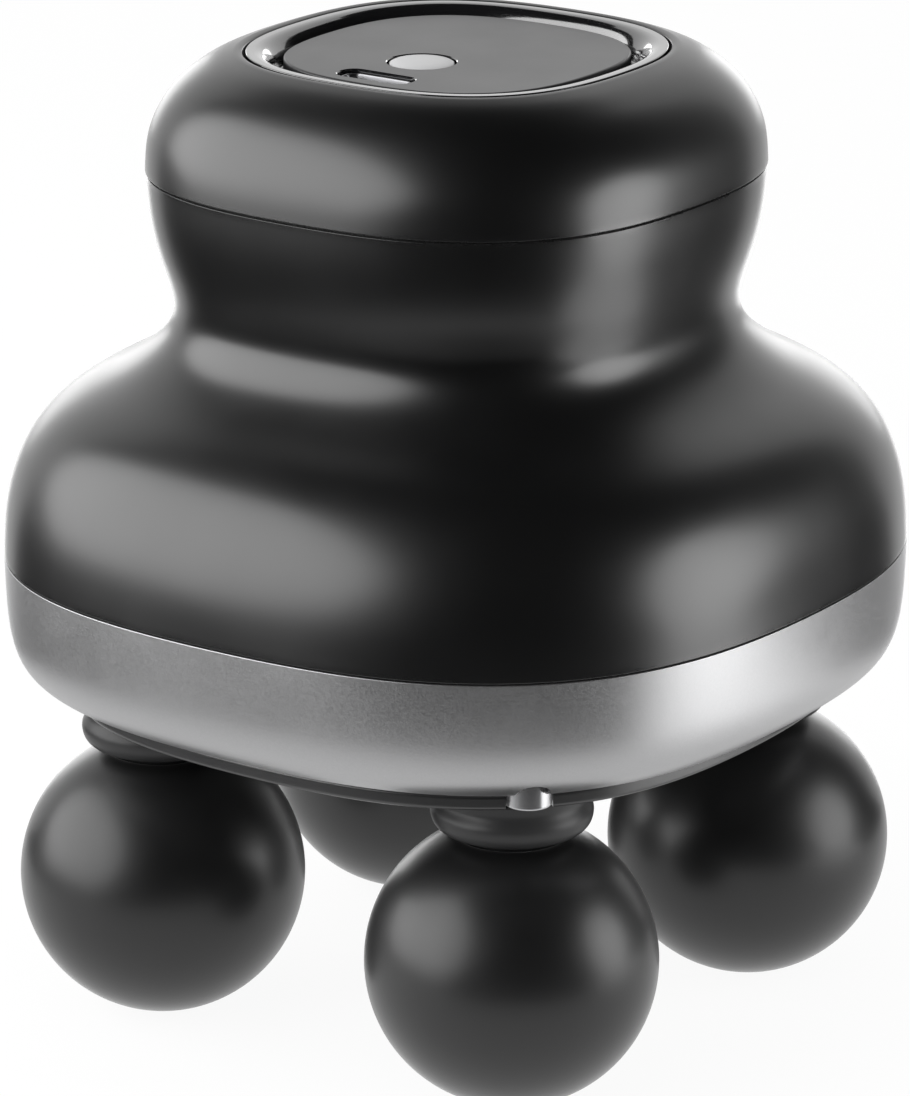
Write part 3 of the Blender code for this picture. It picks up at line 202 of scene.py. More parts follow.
# %% Measures of the outside, in millimetres
SQUARE_SHARE = 0.04
UNDERSIDE = 36.6
LIP_TOP = 38.35
LIP_RADIUS = 41.9
BAND_BOTTOM = 38.9
SKIRT_SEAM = 53.5
CAP_SEAM = 97.1
BAND_KNOTS = ((43.3, 38.9), (45.85, 39.9), (47.55, 41.4), (48.55, 43.7), (49.1, 47.6), (49.3, 53.4))
GRIP_KNOTS = ((49.3, 53.6), (48.9, 59.3), (47.2, 65.2), (43.85, 69.9), (40.3, 72.45), (36.8, 74.3),
              (33.85, 76.3), (31.6, 78.6), (30.55, 81.3), (30.85, 84.0), (31.8, 87.2), (32.9, 92.1),
              (33.3, 96.96))
CAP_KNOTS = ((33.45, 97.25), (32.95, 101.7), (31.25, 105.3), (28.8, 107.95), (25.6, 109.85),
             (23.6, 110.5))
BEZEL_KNOTS = ((21.75, 110.42), (21.3, 110.33), (20.8, 110.06), (20.4, 109.6), (20.05, 109.0),
               (19.8, 108.3), (19.7, 107.3))
OPENING_RADIUS = 22.9
PANEL_RADIUS, PANEL_BOTTOM, PANEL_TOP = 18.6, 107.6, 109.7
FEATURES_X, BUTTON_Y, PORT_Y = -0.9, -5.56, -14.16
BALL_PLACE, BALL_HEIGHT, BALL_RADIUS = 24.11, 15.8, 16.2
CORNERS = {"front": (1, -1), "right": (1, 1), "back": (-1, 1), "left": (-1, -1)}
for node in ("base_plate", "base_band", "grip_body", "top_cap", "control_panel"):
    low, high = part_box(node)
    print(f"{node}: z {low[2] / MM:.1f} to {high[2] / MM:.1f} mm, {(high[0] - low[0]) / MM:.1f} mm wide")

# %% [markdown]
# ## Outlines
# A turned shell starts as an outline in height and radius. Its long curves are natural cubic
# splines, whose curvature has no jumps, because a glossy highlight shows every jump. Its corners
# are small arcs, because no moulded edge is truly sharp, and each arc has a point close on both
# sides, so that the smooth shading stays flat beside it.


# %% Curves and rounded corners
# In shares of a corner's fillet: plain points nearer than the first are dropped, and the support
# points stand beyond the arc's ends by the second.
CLEAR_SHARE, SUPPORT_SHARE = 1.7, 0.3


def spline_slopes(values, steps):
    """Second derivatives of a natural cubic spline through values at the given step lengths."""
    count = len(values)
    upper, right = [0.0] * count, [0.0] * count
    for i in range(1, count - 1):
        jump = (values[i + 1] - values[i]) / steps[i] - (values[i] - values[i - 1]) / steps[i - 1]
        pivot = 2 * (steps[i - 1] + steps[i]) - steps[i - 1] * upper[i - 1]
        upper[i] = steps[i] / pivot
        right[i] = (6 * jump - steps[i - 1] * right[i - 1]) / pivot
    bends = [0.0] * count
    for i in range(count - 2, 0, -1):
        bends[i] = right[i] - upper[i] * bends[i + 1]
    return bends


def smooth_line(knots, spacing=0.45):
    """Points along a natural cubic spline through the knots."""
    steps = [math.dist(a, b) for a, b in zip(knots, knots[1:])]
    bends = [spline_slopes([knot[axis] for knot in knots], steps) for axis in (0, 1)]
    line = []
    for i, step in enumerate(steps):
        parts = max(1, round(step / spacing))
        for part in range(parts):
            b = part / parts
            a = 1 - b
            line.append(tuple(
                a * knots[i][axis] + b * knots[i + 1][axis]
                + ((a ** 3 - a) * bends[axis][i] + (b ** 3 - b) * bends[axis][i + 1]) * step ** 2 / 6
                for axis in (0, 1)))
    return line + [tuple(knots[-1])]


def rounded(line, parts=5):
    """Replaces each (radius, height, fillet) corner of a line with an arc and its support points."""
    kept = []
    corners = [point for point in line if len(point) == 3]
    for point in line:
        near = [c for c in corners if math.dist(c[:2], point[:2]) < CLEAR_SHARE * c[2]]
        if len(point) == 3 or not near:
            kept.append(point)
    done = []
    for i, point in enumerate(kept):
        if len(point) == 2:
            done.append(point)
            continue
        here = Vector(point[:2])
        back = (Vector(kept[i - 1][:2]) - here).normalized()
        ahead = (Vector(kept[(i + 1) % len(kept)][:2]) - here).normalized()
        half = back.angle(ahead) / 2
        reach = point[2] / math.tan(half)
        middle = here + (back + ahead).normalized() * point[2] / math.sin(half)
        start, stop = here + back * reach, here + ahead * reach
        done.append(tuple(start + back * SUPPORT_SHARE * point[2]))
        for part in range(parts + 1):
            ray = (start - middle).slerp(stop - middle, part / parts)
            done.append(tuple(middle + ray.normalized() * point[2]))
        done.append(tuple(stop + ahead * SUPPORT_SHARE * point[2]))
    return done


def closed(line):
    """A line that ends where it starts."""
    return [*line, line[0]]


test = rounded([(0, 0), (10, 0, 1), (10, 10)])
print(f"a corner of 1 mm becomes {len(test) - 2} points")

# %% [markdown]
# ## The turning tree
# Nearly every piece here is turned: an outline goes round the axis. A rule makes it, so Geometry
# Nodes do: a flat grid has one row for each point of the outline and one column for each step of
# the turn, and each of its points is moved to the radius and height that its row samples from the
# outline. The plan's share for the corners is one more term of that formula.


# %% Turned shell, in Geometry Nodes
def new_tree(name, sockets):
    """A geometry tree with named sockets: name, kind and direction."""
    tree = bpy.data.node_groups.new(name, "GeometryNodeTree")
    tree.is_modifier = True
    for label, kind in sockets.items():
        tree.interface.new_socket(label, in_out="INPUT", socket_type=f"NodeSocket{kind}")
    tree.interface.new_socket("Made", in_out="OUTPUT", socket_type="NodeSocketGeometry")
    return tree, Graph(tree)


def combine(graph, x, y, z):
    return graph.node("ShaderNodeCombineXYZ", {}, {"X": x, "Y": y, "Z": z})


def finish_tree(graph, made):
    """Ends a tree with real faces and their finish."""
    made = graph.node("GeometryNodeRealizeInstances", {}, {"Geometry": made})
    made = graph.node("GeometryNodeSetMaterial", {}, {"Geometry": made,
                                                      "Material": graph.given("Finish")})
    graph.node("NodeGroupOutput", {}, {"Made": made})


turned_tree, graph = new_tree("Turned shell", {
    "Outline": "Geometry", "Turn steps": "Int", "Square share": "Float", "Centre": "Vector",
    "Finish": "Material"})
outline = graph.given("Outline")
rows = graph.node("GeometryNodeAttributeDomainSize", {}, {"Geometry": outline}, "Point Count")
grid = graph.node("GeometryNodeMeshGrid", {}, {
    "Size X": 1.0, "Size Y": 1.0, "Vertices X": graph.given("Turn steps") + 1, "Vertices Y": rows},
    "Mesh")
place = graph.node("GeometryNodeInputPosition")
across = graph.node("ShaderNodeSeparateXYZ", {}, {"Vector": place}, "X")
angle = (across + 0.5) * math.tau
row = ((across.out("Y") + 0.5) * (rows - 1)).op("ROUND")
point = graph.node("GeometryNodeSampleIndex", {"data_type": "FLOAT_VECTOR"},
                   {"Geometry": outline, "Value": place, "Index": row})
radius = graph.node("ShaderNodeSeparateXYZ", {}, {"Vector": point}, "X")
reach = radius * (1.0 - graph.given("Square share") * (angle * 4.0).op("COSINE"))
turned = combine(graph, reach * angle.op("COSINE"), reach * angle.op("SINE"), radius.out("Z"))
turned = graph.node("ShaderNodeVectorMath", {"operation": "ADD"},
                    {0: turned, 1: graph.given("Centre")})
shell = graph.node("GeometryNodeSetPosition", {}, {"Geometry": grid, "Position": turned})
SEAM_MERGE = 1e-6
shell = graph.node("GeometryNodeMergeByDistance", {}, {"Geometry": shell, "Distance": SEAM_MERGE})
finish_tree(graph, graph.node("GeometryNodeSetShadeSmooth", {}, {"Geometry": shell}))
print(f"{turned_tree.name}: {len(turned_tree.nodes)} nodes")

# %% [markdown]
# A modifier's inputs have hidden names, so a helper looks each one up by its label. The evaluated
# mesh is then kept as a plain mesh. Its normals are made to point outwards, and only edges that
# are sharper than the limit stay sharp.


# %% From a tree to a plain mesh
SHARP = math.radians(40)
DOUBLES = 0.5e-6
BODY_STEPS = 256


def holder_for(name, points, edges=()):
    """An object with a mesh of points, in millimetres."""
    mesh = bpy.data.meshes.new(name)
    mesh.from_pydata([Vector(p) * MM for p in points], edges, [])
    holder = bpy.data.objects.new(name, mesh)
    bpy.context.scene.collection.objects.link(holder)
    return holder


def set_inputs(modifier, values):
    for item in modifier.node_group.interface.items_tree:
        if item.item_type == "SOCKET" and item.name in values:
            modifier[item.identifier] = values[item.name]


def apply_all(thing):
    """Keeps what the modifiers make as the object's own mesh."""
    graph = bpy.context.evaluated_depsgraph_get()
    mesh = bpy.data.meshes.new_from_object(thing.evaluated_get(graph))
    thing.modifiers.clear()
    old, thing.data = thing.data, mesh
    bpy.data.meshes.remove(old)


def tidy(thing):
    """Joins doubles, turns the faces outwards and marks the sharp edges."""
    net = bmesh.new()
    net.from_mesh(thing.data)
    bmesh.ops.remove_doubles(net, verts=net.verts, dist=DOUBLES)
    bmesh.ops.recalc_face_normals(net, faces=net.faces)
    for face in net.faces:
        face.smooth = True
    net.to_mesh(thing.data)
    net.free()
    thing.data.set_sharp_from_angle(angle=SHARP)
    return thing


def by_tree(name, tree, holder, values):
    modifier = holder.modifiers.new("tree", "NODES")
    modifier.node_group = tree
    set_inputs(modifier, values)
    apply_all(holder)
    holder.name = holder.data.name = name
    return tidy(holder)


def turn_outline(name, line, material, steps=BODY_STEPS, share=SQUARE_SHARE, centre=(0, 0, 0)):
    """Turns an outline of (radius, height) points, in millimetres, about its own upright axis."""
    points = [(r, 0.0, z) for r, z in line]
    edges = [(i, i + 1) for i in range(len(points) - 1)]
    values = {"Turn steps": steps, "Square share": share, "Finish": material,
              "Centre": [c * MM for c in centre]}
    return by_tree(name, turned_tree, holder_for(name, points, edges), values)


def turn_round(name, line, material, steps, centre):
    """Turns an outline to a true round, about the upright axis through a centre."""
    return turn_outline(name, line, material, steps, 0.0, centre)


def carve(piece, cutter):
    """Takes the cutter out of the piece. The new faces keep the cutter's finish."""
    modifier = piece.modifiers.new("carve", "BOOLEAN")
    modifier.operation, modifier.solver = "DIFFERENCE", "EXACT"
    modifier.object, modifier.material_mode = cutter, "TRANSFER"
    apply_all(piece)
    bpy.data.objects.remove(cutter)
    return tidy(piece)


def told(piece):
    mesh = piece.data
    corners = [v.co for v in mesh.vertices]
    low = [min(c[i] for c in corners) / MM for i in range(3)]
    high = [max(c[i] for c in corners) / MM for i in range(3)]
    size = " x ".join(f"{b - a:.1f}" for a, b in zip(low, high))
    print(f"{piece.name}: {sum(len(f.vertices) - 2 for f in mesh.polygons)} triangles, {size} mm")
    return piece


def dress(piece, body, *nodes):
    """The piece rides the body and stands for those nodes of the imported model."""
    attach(piece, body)
    if nodes:
        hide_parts(*nodes)
    return told(piece)


# %% [markdown]
# ## Finishes
# Up close, even plain black plastic isn't one colour: it has a grain that can be felt, broad
# cloudy marks of handling, and smoother places. One recipe makes these from two noises in Object
# coordinates, a fine one for the grain and a broad one for the marks. Numbers that are the same
# all over a surface stay on the shader's own sockets.


# %% The common recipe
BROAD_SHARE, FINE_SHARE = 0.6, 0.4
SHEEN_ROUGHNESS = 0.25


def noise(graph, place, size, detail=2.0):
    return graph.node("ShaderNodeTexNoise", {}, {"Vector": place, "Scale": 1.0 / size,
                                                 "Detail": detail})


def shades(colour, change):
    """A darker and a lighter shade of one colour."""
    return [(*(min(1.0, c * share) for c in colour), 1.0) for share in (1 - change, 1 + change)]


def finish(name, colour, roughness, grain, depth, mark=12 * MM, change=0.12, spread=0.05,
           metallic=0.0, specular=0.5, coat=0.0, coat_roughness=0.1, coat_ior=1.5, sheen=0.0,
           extra=None):
    """A Principled surface with a grain of that size and depth, and broad marks.

    extra gets the graph, the place and the links so far, and returns the links that it changes.
    """
    material = bpy.data.materials.new(name)
    material.use_nodes = True
    material.node_tree.nodes.clear()
    graph = Graph(material.node_tree)
    place = graph.node("ShaderNodeTexCoord", output="Object")
    fine = noise(graph, place, grain)
    broad = noise(graph, place, mark, 3.0)
    links = {"Base Color": graph.mix(broad * BROAD_SHARE + fine * FINE_SHARE, *shades(colour, change)),
             "Roughness": broad * (2 * spread) + (roughness - spread),
             "Height": fine}
    if extra:
        links.update(extra(graph, place, links))
    height = links.pop("Height")
    links["Normal"] = graph.node("ShaderNodeBump", {}, {"Distance": depth, "Height": height}, "Normal")
    shader = graph.node("ShaderNodeBsdfPrincipled", {}, {
        "Metallic": metallic, "Specular IOR Level": specular, "Coat Weight": coat,
        "Coat Roughness": coat_roughness, "Coat IOR": coat_ior, "Sheen Weight": sheen,
        "Sheen Roughness": SHEEN_ROUGHNESS, **links})
    graph.node("ShaderNodeOutputMaterial", {}, {"Surface": shader})
    material.diffuse_color = (*colour, 1.0)
    return material


def axis_places(graph, place):
    """The height of a point and its distance from the body's axis."""
    height = graph.node("ShaderNodeSeparateXYZ", {}, {"Vector": place}, "Z")
    across, along = height.out("X"), height.out("Y")
    return height, (across * across + along * along).op("SQRT")


# %% [markdown]
# ## The finishes of the outside
# The grip is moulded in black plastic under a soft-touch paint: matte, with a silky sheen, and a
# little smoother at the seams, where hands and cloths polish it. The band has a silver paint with
# fine flecks, and a painted shade along its turned-under foot. The bezel is polished black plastic,
# the base plate is black with a satin face, and the balls and boots are black rubber, which is
# duller and has a coarser grain.


# %% Paints, plastics and rubber of the outside
WEAR_REACH, WEAR_BLUR, WEAR_PATCH = 0.6 * MM, 0.5 * MM, 2.2 * MM
# The middle one is how far, in millimetres, the painted shade reaches up the band's foot.
FLAKE, FOOT_SHADE_REACH, SCRATCH = 0.16 * MM, 0.3, 6 * MM


def polished_seams(graph, place, links):
    """Soft-touch paint is smoother and a touch lighter close to the seams."""
    height, _ = axis_places(graph, place)
    wear = 0.0
    for seam in (SKIRT_SEAM * MM, CAP_SEAM * MM):
        wear = (height - seam).op("ABSOLUTE").below(WEAR_REACH, WEAR_BLUR) + wear
    wear = wear * noise(graph, place, WEAR_PATCH)
    return {"Roughness": links["Roughness"] - wear * 0.12,
            "Base Color": graph.mix(wear * 0.3, links["Base Color"], (0.02, 0.02, 0.02, 1.0))}


def flakes_and_foot_shade(graph, place, links):
    """Fine bright flecks in silver paint, and a painted shade on the band's turned-under foot."""
    flake = graph.node("ShaderNodeTexVoronoi", {}, {"Vector": place, "Scale": 1.0 / FLAKE},
                       "Color")
    spark = graph.node("ShaderNodeSeparateXYZ", {}, {"Vector": flake}, "X")
    height, _ = axis_places(graph, place)
    # Painted shade: the band goes towards dark grey at its foot, where it turns under above the lip.
    low = height.below((BAND_BOTTOM + FOOT_SHADE_REACH) * MM, FOOT_SHADE_REACH * MM)
    tone = graph.mix(spark, links["Base Color"], (0.62, 0.62, 0.625, 1.0))
    tone = graph.mix(0.12, links["Base Color"], tone)
    return {"Base Color": graph.mix(low * 0.5, tone, (0.2, 0.2, 0.2, 1.0)),
            "Roughness": links["Roughness"] + (spark - 0.5) * 0.08,
            "Height": links["Height"] * 0.5 + spark * 0.5}


def hairlines(graph, place, links):
    """Short fine scratches in smooth plastic, as two stretched noises that cross."""
    lines = 0.0
    for turn in (0.5, 2.1):
        stretched = graph.node("ShaderNodeMapping", {}, {"Vector": place, "Rotation": (0.3, 0.2, turn),
                                                         "Scale": (40.0, 1.0, 40.0)})
        line = noise(graph, stretched, SCRATCH, 1.0)
        lines = line.below(0.32, 0.03) + lines
    return {"Roughness": links["Roughness"] + lines * 0.08,
            "Height": links["Height"] * 0.3 + lines * -0.7}


finishes = {
    "soft_touch_black": finish("soft_touch_black", (0.003, 0.003, 0.0032), 0.33, 0.22 * MM, 0.002 * MM,
                               specular=0.75, coat=0.25, coat_roughness=0.2, coat_ior=1.2, sheen=0.1,
                               extra=polished_seams),
    "silver_paint": finish("silver_paint", (0.39, 0.39, 0.395), 0.4, 0.3 * MM, 0.002 * MM,
                           change=0.05, metallic=0.93, extra=flakes_and_foot_shade),
    "gloss_black": finish("gloss_black", (0.006, 0.006, 0.0065), 0.12, 0.8 * MM, 0.002 * MM,
                          spread=0.03, specular=1.0, coat=1.0, coat_roughness=0.06,
                          extra=hairlines),
    "satin_black": finish("satin_black", (0.012, 0.012, 0.0125), 0.3, 0.3 * MM, 0.002 * MM,
                          specular=0.8, extra=hairlines),
    "panel_grey": finish("panel_grey", (0.02, 0.02, 0.021), 0.3, 0.18 * MM, 0.001 * MM,
                         change=0.1, specular=0.42),
    "button_grey": finish("button_grey", (0.5, 0.5, 0.505), 0.42, 0.25 * MM, 0.003 * MM,
                          change=0.05),
    "ball_rubber": finish("ball_rubber", (0.005, 0.005, 0.0052), 0.38, 0.35 * MM, 0.004 * MM,
                          mark=7 * MM, change=0.2, specular=0.55, coat=0.25, coat_roughness=0.2,
                          coat_ior=1.2, sheen=0.25),
    "boot_rubber": finish("boot_rubber", (0.02, 0.02, 0.0205), 0.42, 0.3 * MM, 0.005 * MM,
                          mark=5 * MM, change=0.2, specular=0.35),
}
print(f"{len(finishes)} finishes for the outside")

# %% [markdown]
# ## The finishes of the inside
# Nothing of the drive shows in the picture, but the model is whole, so its pieces are finished too:
# turned brass and steel have fine rings about their axis, moulded plastic has a spark-eroded grain,
# the circuit board has its tracks under green lacquer, and the cell's foil is wrinkled.


# %% Metals, moulded plastics, board and foil
RING_PITCH, TRACK_PITCH, PAD_PITCH, CREASE_PITCH = 0.25 * MM, 3.2 * MM, 2.6 * MM, 5 * MM


def lathe_rings(graph, place, links):
    """Fine rings from turning, at every height."""
    height, distance = axis_places(graph, place)
    rings = ((height + distance) * (math.tau / RING_PITCH)).op("SINE")
    return {"Height": rings * 0.5 + links["Height"], "Roughness": links["Roughness"] + rings * 0.04}


def tracks(graph, place, links):
    """Copper tracks and round pads under the lacquer of a circuit board."""
    cells = graph.node("ShaderNodeTexBrick", {"offset": 0.5}, {
        "Vector": place, "Color1": (1, 1, 1, 1), "Color2": (1, 1, 1, 1), "Mortar": (0, 0, 0, 1),
        "Scale": 1.0 / TRACK_PITCH, "Mortar Size": 0.12, "Mortar Smooth": 0.2}, "Fac")
    pads = graph.node("ShaderNodeTexVoronoi", {}, {"Vector": place, "Scale": 1.0 / PAD_PITCH,
                                                   "Randomness": 0.4}, "Distance")
    pad = pads.below(0.22, 0.02)
    lacquer = graph.mix(cells * 0.5, links["Base Color"], (0.05, 0.24, 0.1, 1.0))
    return {"Base Color": graph.mix(pad, lacquer, (0.7, 0.66, 0.55, 1.0)),
            "Height": links["Height"] * 0.2 + cells * 0.5 + pad * 0.4, "Metallic": pad}


def creases(graph, place, links):
    """Shallow straight creases of a foil pouch."""
    folds = graph.node("ShaderNodeTexVoronoi", {"feature": "DISTANCE_TO_EDGE"},
                       {"Vector": place, "Scale": 1.0 / CREASE_PITCH}, "Distance")
    return {"Height": links["Height"] * 0.2 + folds.below(0.06, 0.05)}


finishes.update({
    "inner_plastic": finish("inner_plastic", (0.045, 0.045, 0.048), 0.5, 0.25 * MM, 0.01 * MM),
    "bearing_plastic": finish("bearing_plastic", (0.62, 0.6, 0.55), 0.38, 0.4 * MM, 0.005 * MM,
                              change=0.04),
    "steel": finish("steel", (0.58, 0.58, 0.6), 0.3, 0.3 * MM, 0.003 * MM, change=0.08, metallic=1.0,
                    extra=lathe_rings),
    "brass": finish("brass", (0.66, 0.49, 0.22), 0.28, 0.3 * MM, 0.003 * MM, change=0.1, metallic=1.0,
                    extra=lathe_rings),
    "board_green": finish("board_green", (0.02, 0.11, 0.05), 0.3, 0.3 * MM, 0.02 * MM, coat=0.5,
                          extra=tracks),
    "battery_foil": finish("battery_foil", (0.5, 0.51, 0.53), 0.3, 0.6 * MM, 0.06 * MM, change=0.06,
                           metallic=0.9, extra=creases),
})
for name, node in frame["nodes"].items():
    node.data.materials.clear()
    node.data.materials.append(finishes[slot_of[name]])
print(f"{len(finishes)} finishes, on {len(frame['nodes'])} nodes")

# %% [markdown]
# ## Shells of the body
# The band, the grip and the cap are three closed shells, one above the other, with a fine seam
# between each two. Each outline runs up the outside, over its edges and down the inside. The wall
# behind the outside is a plain step line, because nobody sees it.


# %% Band, grip and cap
soft, silver, gloss = (finishes[name] for name in ("soft_touch_black", "silver_paint", "gloss_black"))
# How far each kind of edge is rounded, in millimetres.
EDGE, BAND_FOOT_EDGE, GRIP_TOP_EDGE = 0.09, 0.25, 0.05
BAND_INSIDE = ((46.5, 53.4), (46.5, 56.3), (45.4, 56.3), (45.4, 46.0), (43.6, 42.8), (40.0, 42.4),
               (40.0, 38.9, 0.2))
GRIP_INSIDE = ((31.9, 96.96), (31.9, 99.9), (30.9, 99.9), (30.9, 96.0), (28.4, 86.0), (28.3, 80.0),
               (31.0, 76.0), (38.0, 71.5), (44.5, 66.0), (46.9, 58.0), (46.9, 53.6))
CAP_INSIDE = ((OPENING_RADIUS, 110.35, 0.3), (OPENING_RADIUS, 106.4), (21.1, 106.4), (21.1, 105.2),
              (27.0, 105.2), (30.8, 101.0), (31.1, 100.5), (32.2, 100.5), (32.2, 97.25))


def shell_outline(knots, inside, foot, top):
    """A smooth outside with rounded ends, and then the inside, as one closed line."""
    first, *middle, last = smooth_line(knots)
    last = (*last, top) if top else last
    return closed(rounded([(*first, foot), *middle, last, *inside]))


band = turn_outline("silver_band", shell_outline(BAND_KNOTS, BAND_INSIDE, BAND_FOOT_EDGE, EDGE), silver)
grip = turn_outline("grip_shell", shell_outline(GRIP_KNOTS, GRIP_INSIDE, EDGE, GRIP_TOP_EDGE), soft)
cap = turn_outline("palm_cap", shell_outline(CAP_KNOTS, CAP_INSIDE, EDGE, 0.0), soft)
for shell in (band, grip, cap):
    told(shell)

# %% [markdown]
# ## The base plate
# Its edge shows as a dark satin lip under the band. Underneath, which is seen when the massager is
# picked up, it has two shallow ring grooves, a hole for each plunger and sunk seats for the screws.

# %% Base plate
ROD_HOLE, ROD_HOLE_TOP, ROD_HOLE_FLARE = 4.6, 42.0, 0.2
SEAT_RADIUS, SEAT_TOP, SEAT_FLARE = 2.75, 38.1, 0.15
CHASSIS_CIRCLE, GRIP_CIRCLE = 24.5, 31.6
GROOVE_TOP = UNDERSIDE + 0.35
LIP_FOOT_EDGE, LIP_TOP_EDGE = 0.4, 0.35
STEP_OUTER, STEP_INNER, STEP_TOP, PLATE_FLOOR = 39.7, 37.3, 40.4, 39.0
CUTTER_STEPS = 32
plate = turn_outline("base_lip", rounded([
    (0.0, UNDERSIDE), (14.5, UNDERSIDE), (14.8, GROOVE_TOP), (15.9, GROOVE_TOP), (16.2, UNDERSIDE),
    (37.8, UNDERSIDE), (38.1, GROOVE_TOP), (38.9, GROOVE_TOP), (39.2, UNDERSIDE),
    (LIP_RADIUS, UNDERSIDE, LIP_FOOT_EDGE), (LIP_RADIUS, LIP_TOP, LIP_TOP_EDGE), (STEP_OUTER, LIP_TOP),
    (STEP_OUTER, STEP_TOP), (STEP_INNER, STEP_TOP), (STEP_INNER, PLATE_FLOOR), (0.0, PLATE_FLOOR)]),
    finishes["satin_black"])


def round_cutter(name, radius, low, high, flare, x, y):
    """A round bar that widens at its lower end, to break the edge of the hole that it cuts."""
    line = [(0.0, low - flare), (radius + 2 * flare, low - flare), (radius, low + flare),
            (radius, high), (0.0, high)]
    return turn_round(name, line, gloss, CUTTER_STEPS, (x, y, 0.0))


def sides(circle):
    """The places on the four flat sides, on a circle."""
    return [(circle, 0.0), (0.0, circle), (-circle, 0.0), (0.0, -circle)]


seats = [(0.0, 0.0), *sides(CHASSIS_CIRCLE), *sides(GRIP_CIRCLE)]
for x, y in seats:
    carve(plate, round_cutter("seat", SEAT_RADIUS, UNDERSIDE, SEAT_TOP, SEAT_FLARE, x, y))
for sx, sy in CORNERS.values():
    carve(plate, round_cutter("rod_hole", ROD_HOLE, UNDERSIDE, ROD_HOLE_TOP, ROD_HOLE_FLARE,
                              sx * BALL_PLACE, sy * BALL_PLACE))

# %% [markdown]
# Slots and sockets are rounded boxes: a stack of rounded rectangles, each a little smaller or
# larger than the one below it, so that one helper also breaks their edges.

# %% Rounded boxes
def rounded_box(width, depth, corner, steps=8):
    """The outline of a rounded rectangle about the origin, counterclockwise."""
    line = []
    for quarter, (sx, sy) in enumerate(((1, 1), (-1, 1), (-1, -1), (1, -1))):
        for step in range(steps + 1):
            a = (quarter + step / steps) * math.pi / 2
            line.append((sx * (width / 2 - corner) + corner * math.cos(a),
                         sy * (depth / 2 - corner) + corner * math.sin(a)))
    return line


def stacked(name, width, depth, corner, levels, material, centre):
    """A solid of rounded rectangles, one for each (offset, height) level, closed at both ends."""
    net = bmesh.new()
    rings = []
    for offset, height in levels:
        line = rounded_box(width + 2 * offset, depth + 2 * offset, corner + offset)
        rings.append([net.verts.new(((x + centre[0]) * MM, (y + centre[1]) * MM, height * MM))
                      for x, y in line])
    for lower, upper in zip(rings, rings[1:]):
        for i in range(len(lower)):
            after = (i + 1) % len(lower)
            net.faces.new((lower[i], lower[after], upper[after], upper[i]))
    for ring in (rings[0], rings[-1]):
        net.faces.new(ring)
    mesh = bpy.data.meshes.new(name)
    net.to_mesh(mesh)
    net.free()
    mesh.materials.append(material)
    piece = bpy.data.objects.new(name, mesh)
    bpy.context.scene.collection.objects.link(piece)
    return tidy(piece)


# %% [markdown]
# At the front corner a small bright stud stands upright in a notch of the lip, half proud of it.
# The band leans out over it, so there a long slot with a drawn-in top leaves an arch. The cuts are
# made at +X, where they are easy to place, and turned to the corner.

# %% Notch and stud
bright = finish("stud_steel", (0.5, 0.5, 0.51), 0.26, 0.5 * MM, 0.0004 * MM, change=0.05,
                metallic=1.0)
NOTCH_TURN = Matrix.Rotation(math.radians(-45), 4, "Z")
STUD_PLACE, STUD_STEPS = (42.8, 0.16, 0.0), 64
STUD_RADIUS, STUD_LOW, STUD_TOP = 2.55, 37.0, 40.5
STUD_FOOT_EDGE, STUD_TOP_EDGE = 0.25, 0.6
BORE_RADIUS, BORE_LOW, BORE_TOP = STUD_RADIUS + 0.12, 35.0, STUD_TOP + 0.2
ARCH_INNER, ARCH_OUTER, ARCH_WIDTH, ARCH_SHIFT = 41.0, 49.7, 3.7, -0.3
ARCH_CORNER, ARCH_LOW, ARCH_TOP = ARCH_WIDTH * 0.48, 37.0, 41.6
# How far the slot draws in, and how far below its top.
ARCH_CROWN = ((0.0, 0.9), (0.12, 0.5), (0.4, 0.17), (0.85, 0.0))
stud = turn_round("corner_stud", rounded([
    (0.0, STUD_LOW), (STUD_RADIUS, STUD_LOW, STUD_FOOT_EDGE), (STUD_RADIUS, STUD_TOP, STUD_TOP_EDGE),
    (0.0, STUD_TOP)]), bright, STUD_STEPS, STUD_PLACE)
# The arch cutter is gloss black, and the walls that it cuts in the silver band keep that finish: a painted
# shade inside the slot, under the band's overhang.
arch = stacked("arch", ARCH_OUTER - ARCH_INNER, ARCH_WIDTH, ARCH_CORNER,
               [(0.0, ARCH_LOW), *((-inset, ARCH_TOP - drop) for inset, drop in ARCH_CROWN)],
               gloss, ((ARCH_OUTER + ARCH_INNER) / 2, ARCH_SHIFT))


def bore_for(shell):
    """The cutter of the stud's bore, in the shell's own finish."""
    line = [(0.0, BORE_LOW), (BORE_RADIUS, BORE_LOW), (BORE_RADIUS, BORE_TOP), (0.0, BORE_TOP)]
    return turn_round("bore", line, shell.data.materials[0], STUD_STEPS, STUD_PLACE)


stud.data.transform(NOTCH_TURN)
for shell, cutter in ((band, arch), (plate, bore_for(plate)), (band, bore_for(band))):
    cutter.data.transform(NOTCH_TURN)
    carve(shell, cutter)
dress(stud, "housing")

dress(band, "housing", "base_band")
dress(grip, "housing", "grip_body")
dress(cap, "housing", "top_cap")
dress(plate, "housing", "base_plate")

# %% [markdown]
# ## Bezel
# The bezel is a glossy ring that falls from the cap's opening to a groove, in which the panel
# stands. Its slope is a spline with close points, so that the highlight on it runs evenly.

# %% Bezel ring
BEZEL_BOTTOM, BEZEL_CREST, GROOVE_FLOOR = 106.7, 110.42, 107.3
BEZEL_OUTER, BEZEL_INNER = 22.6, 17.5
bezel_line = smooth_line(BEZEL_KNOTS, 0.2)
bezel = dress(turn_outline("bezel_ring", closed(rounded([
    (BEZEL_OUTER, BEZEL_BOTTOM), (BEZEL_OUTER, BEZEL_CREST, 0.12), *bezel_line[:-1],
    (*bezel_line[-1], 0.2), (BEZEL_INNER, GROOVE_FLOOR), (BEZEL_INNER, BEZEL_BOTTOM)])), gloss),
    "housing", "bezel_dish")

# %% [markdown]
# ## Panel
# The panel is a satin plate. The button's hole and the port's slot are cut through it with cutters
# that flare at the top, so both get a broken edge.

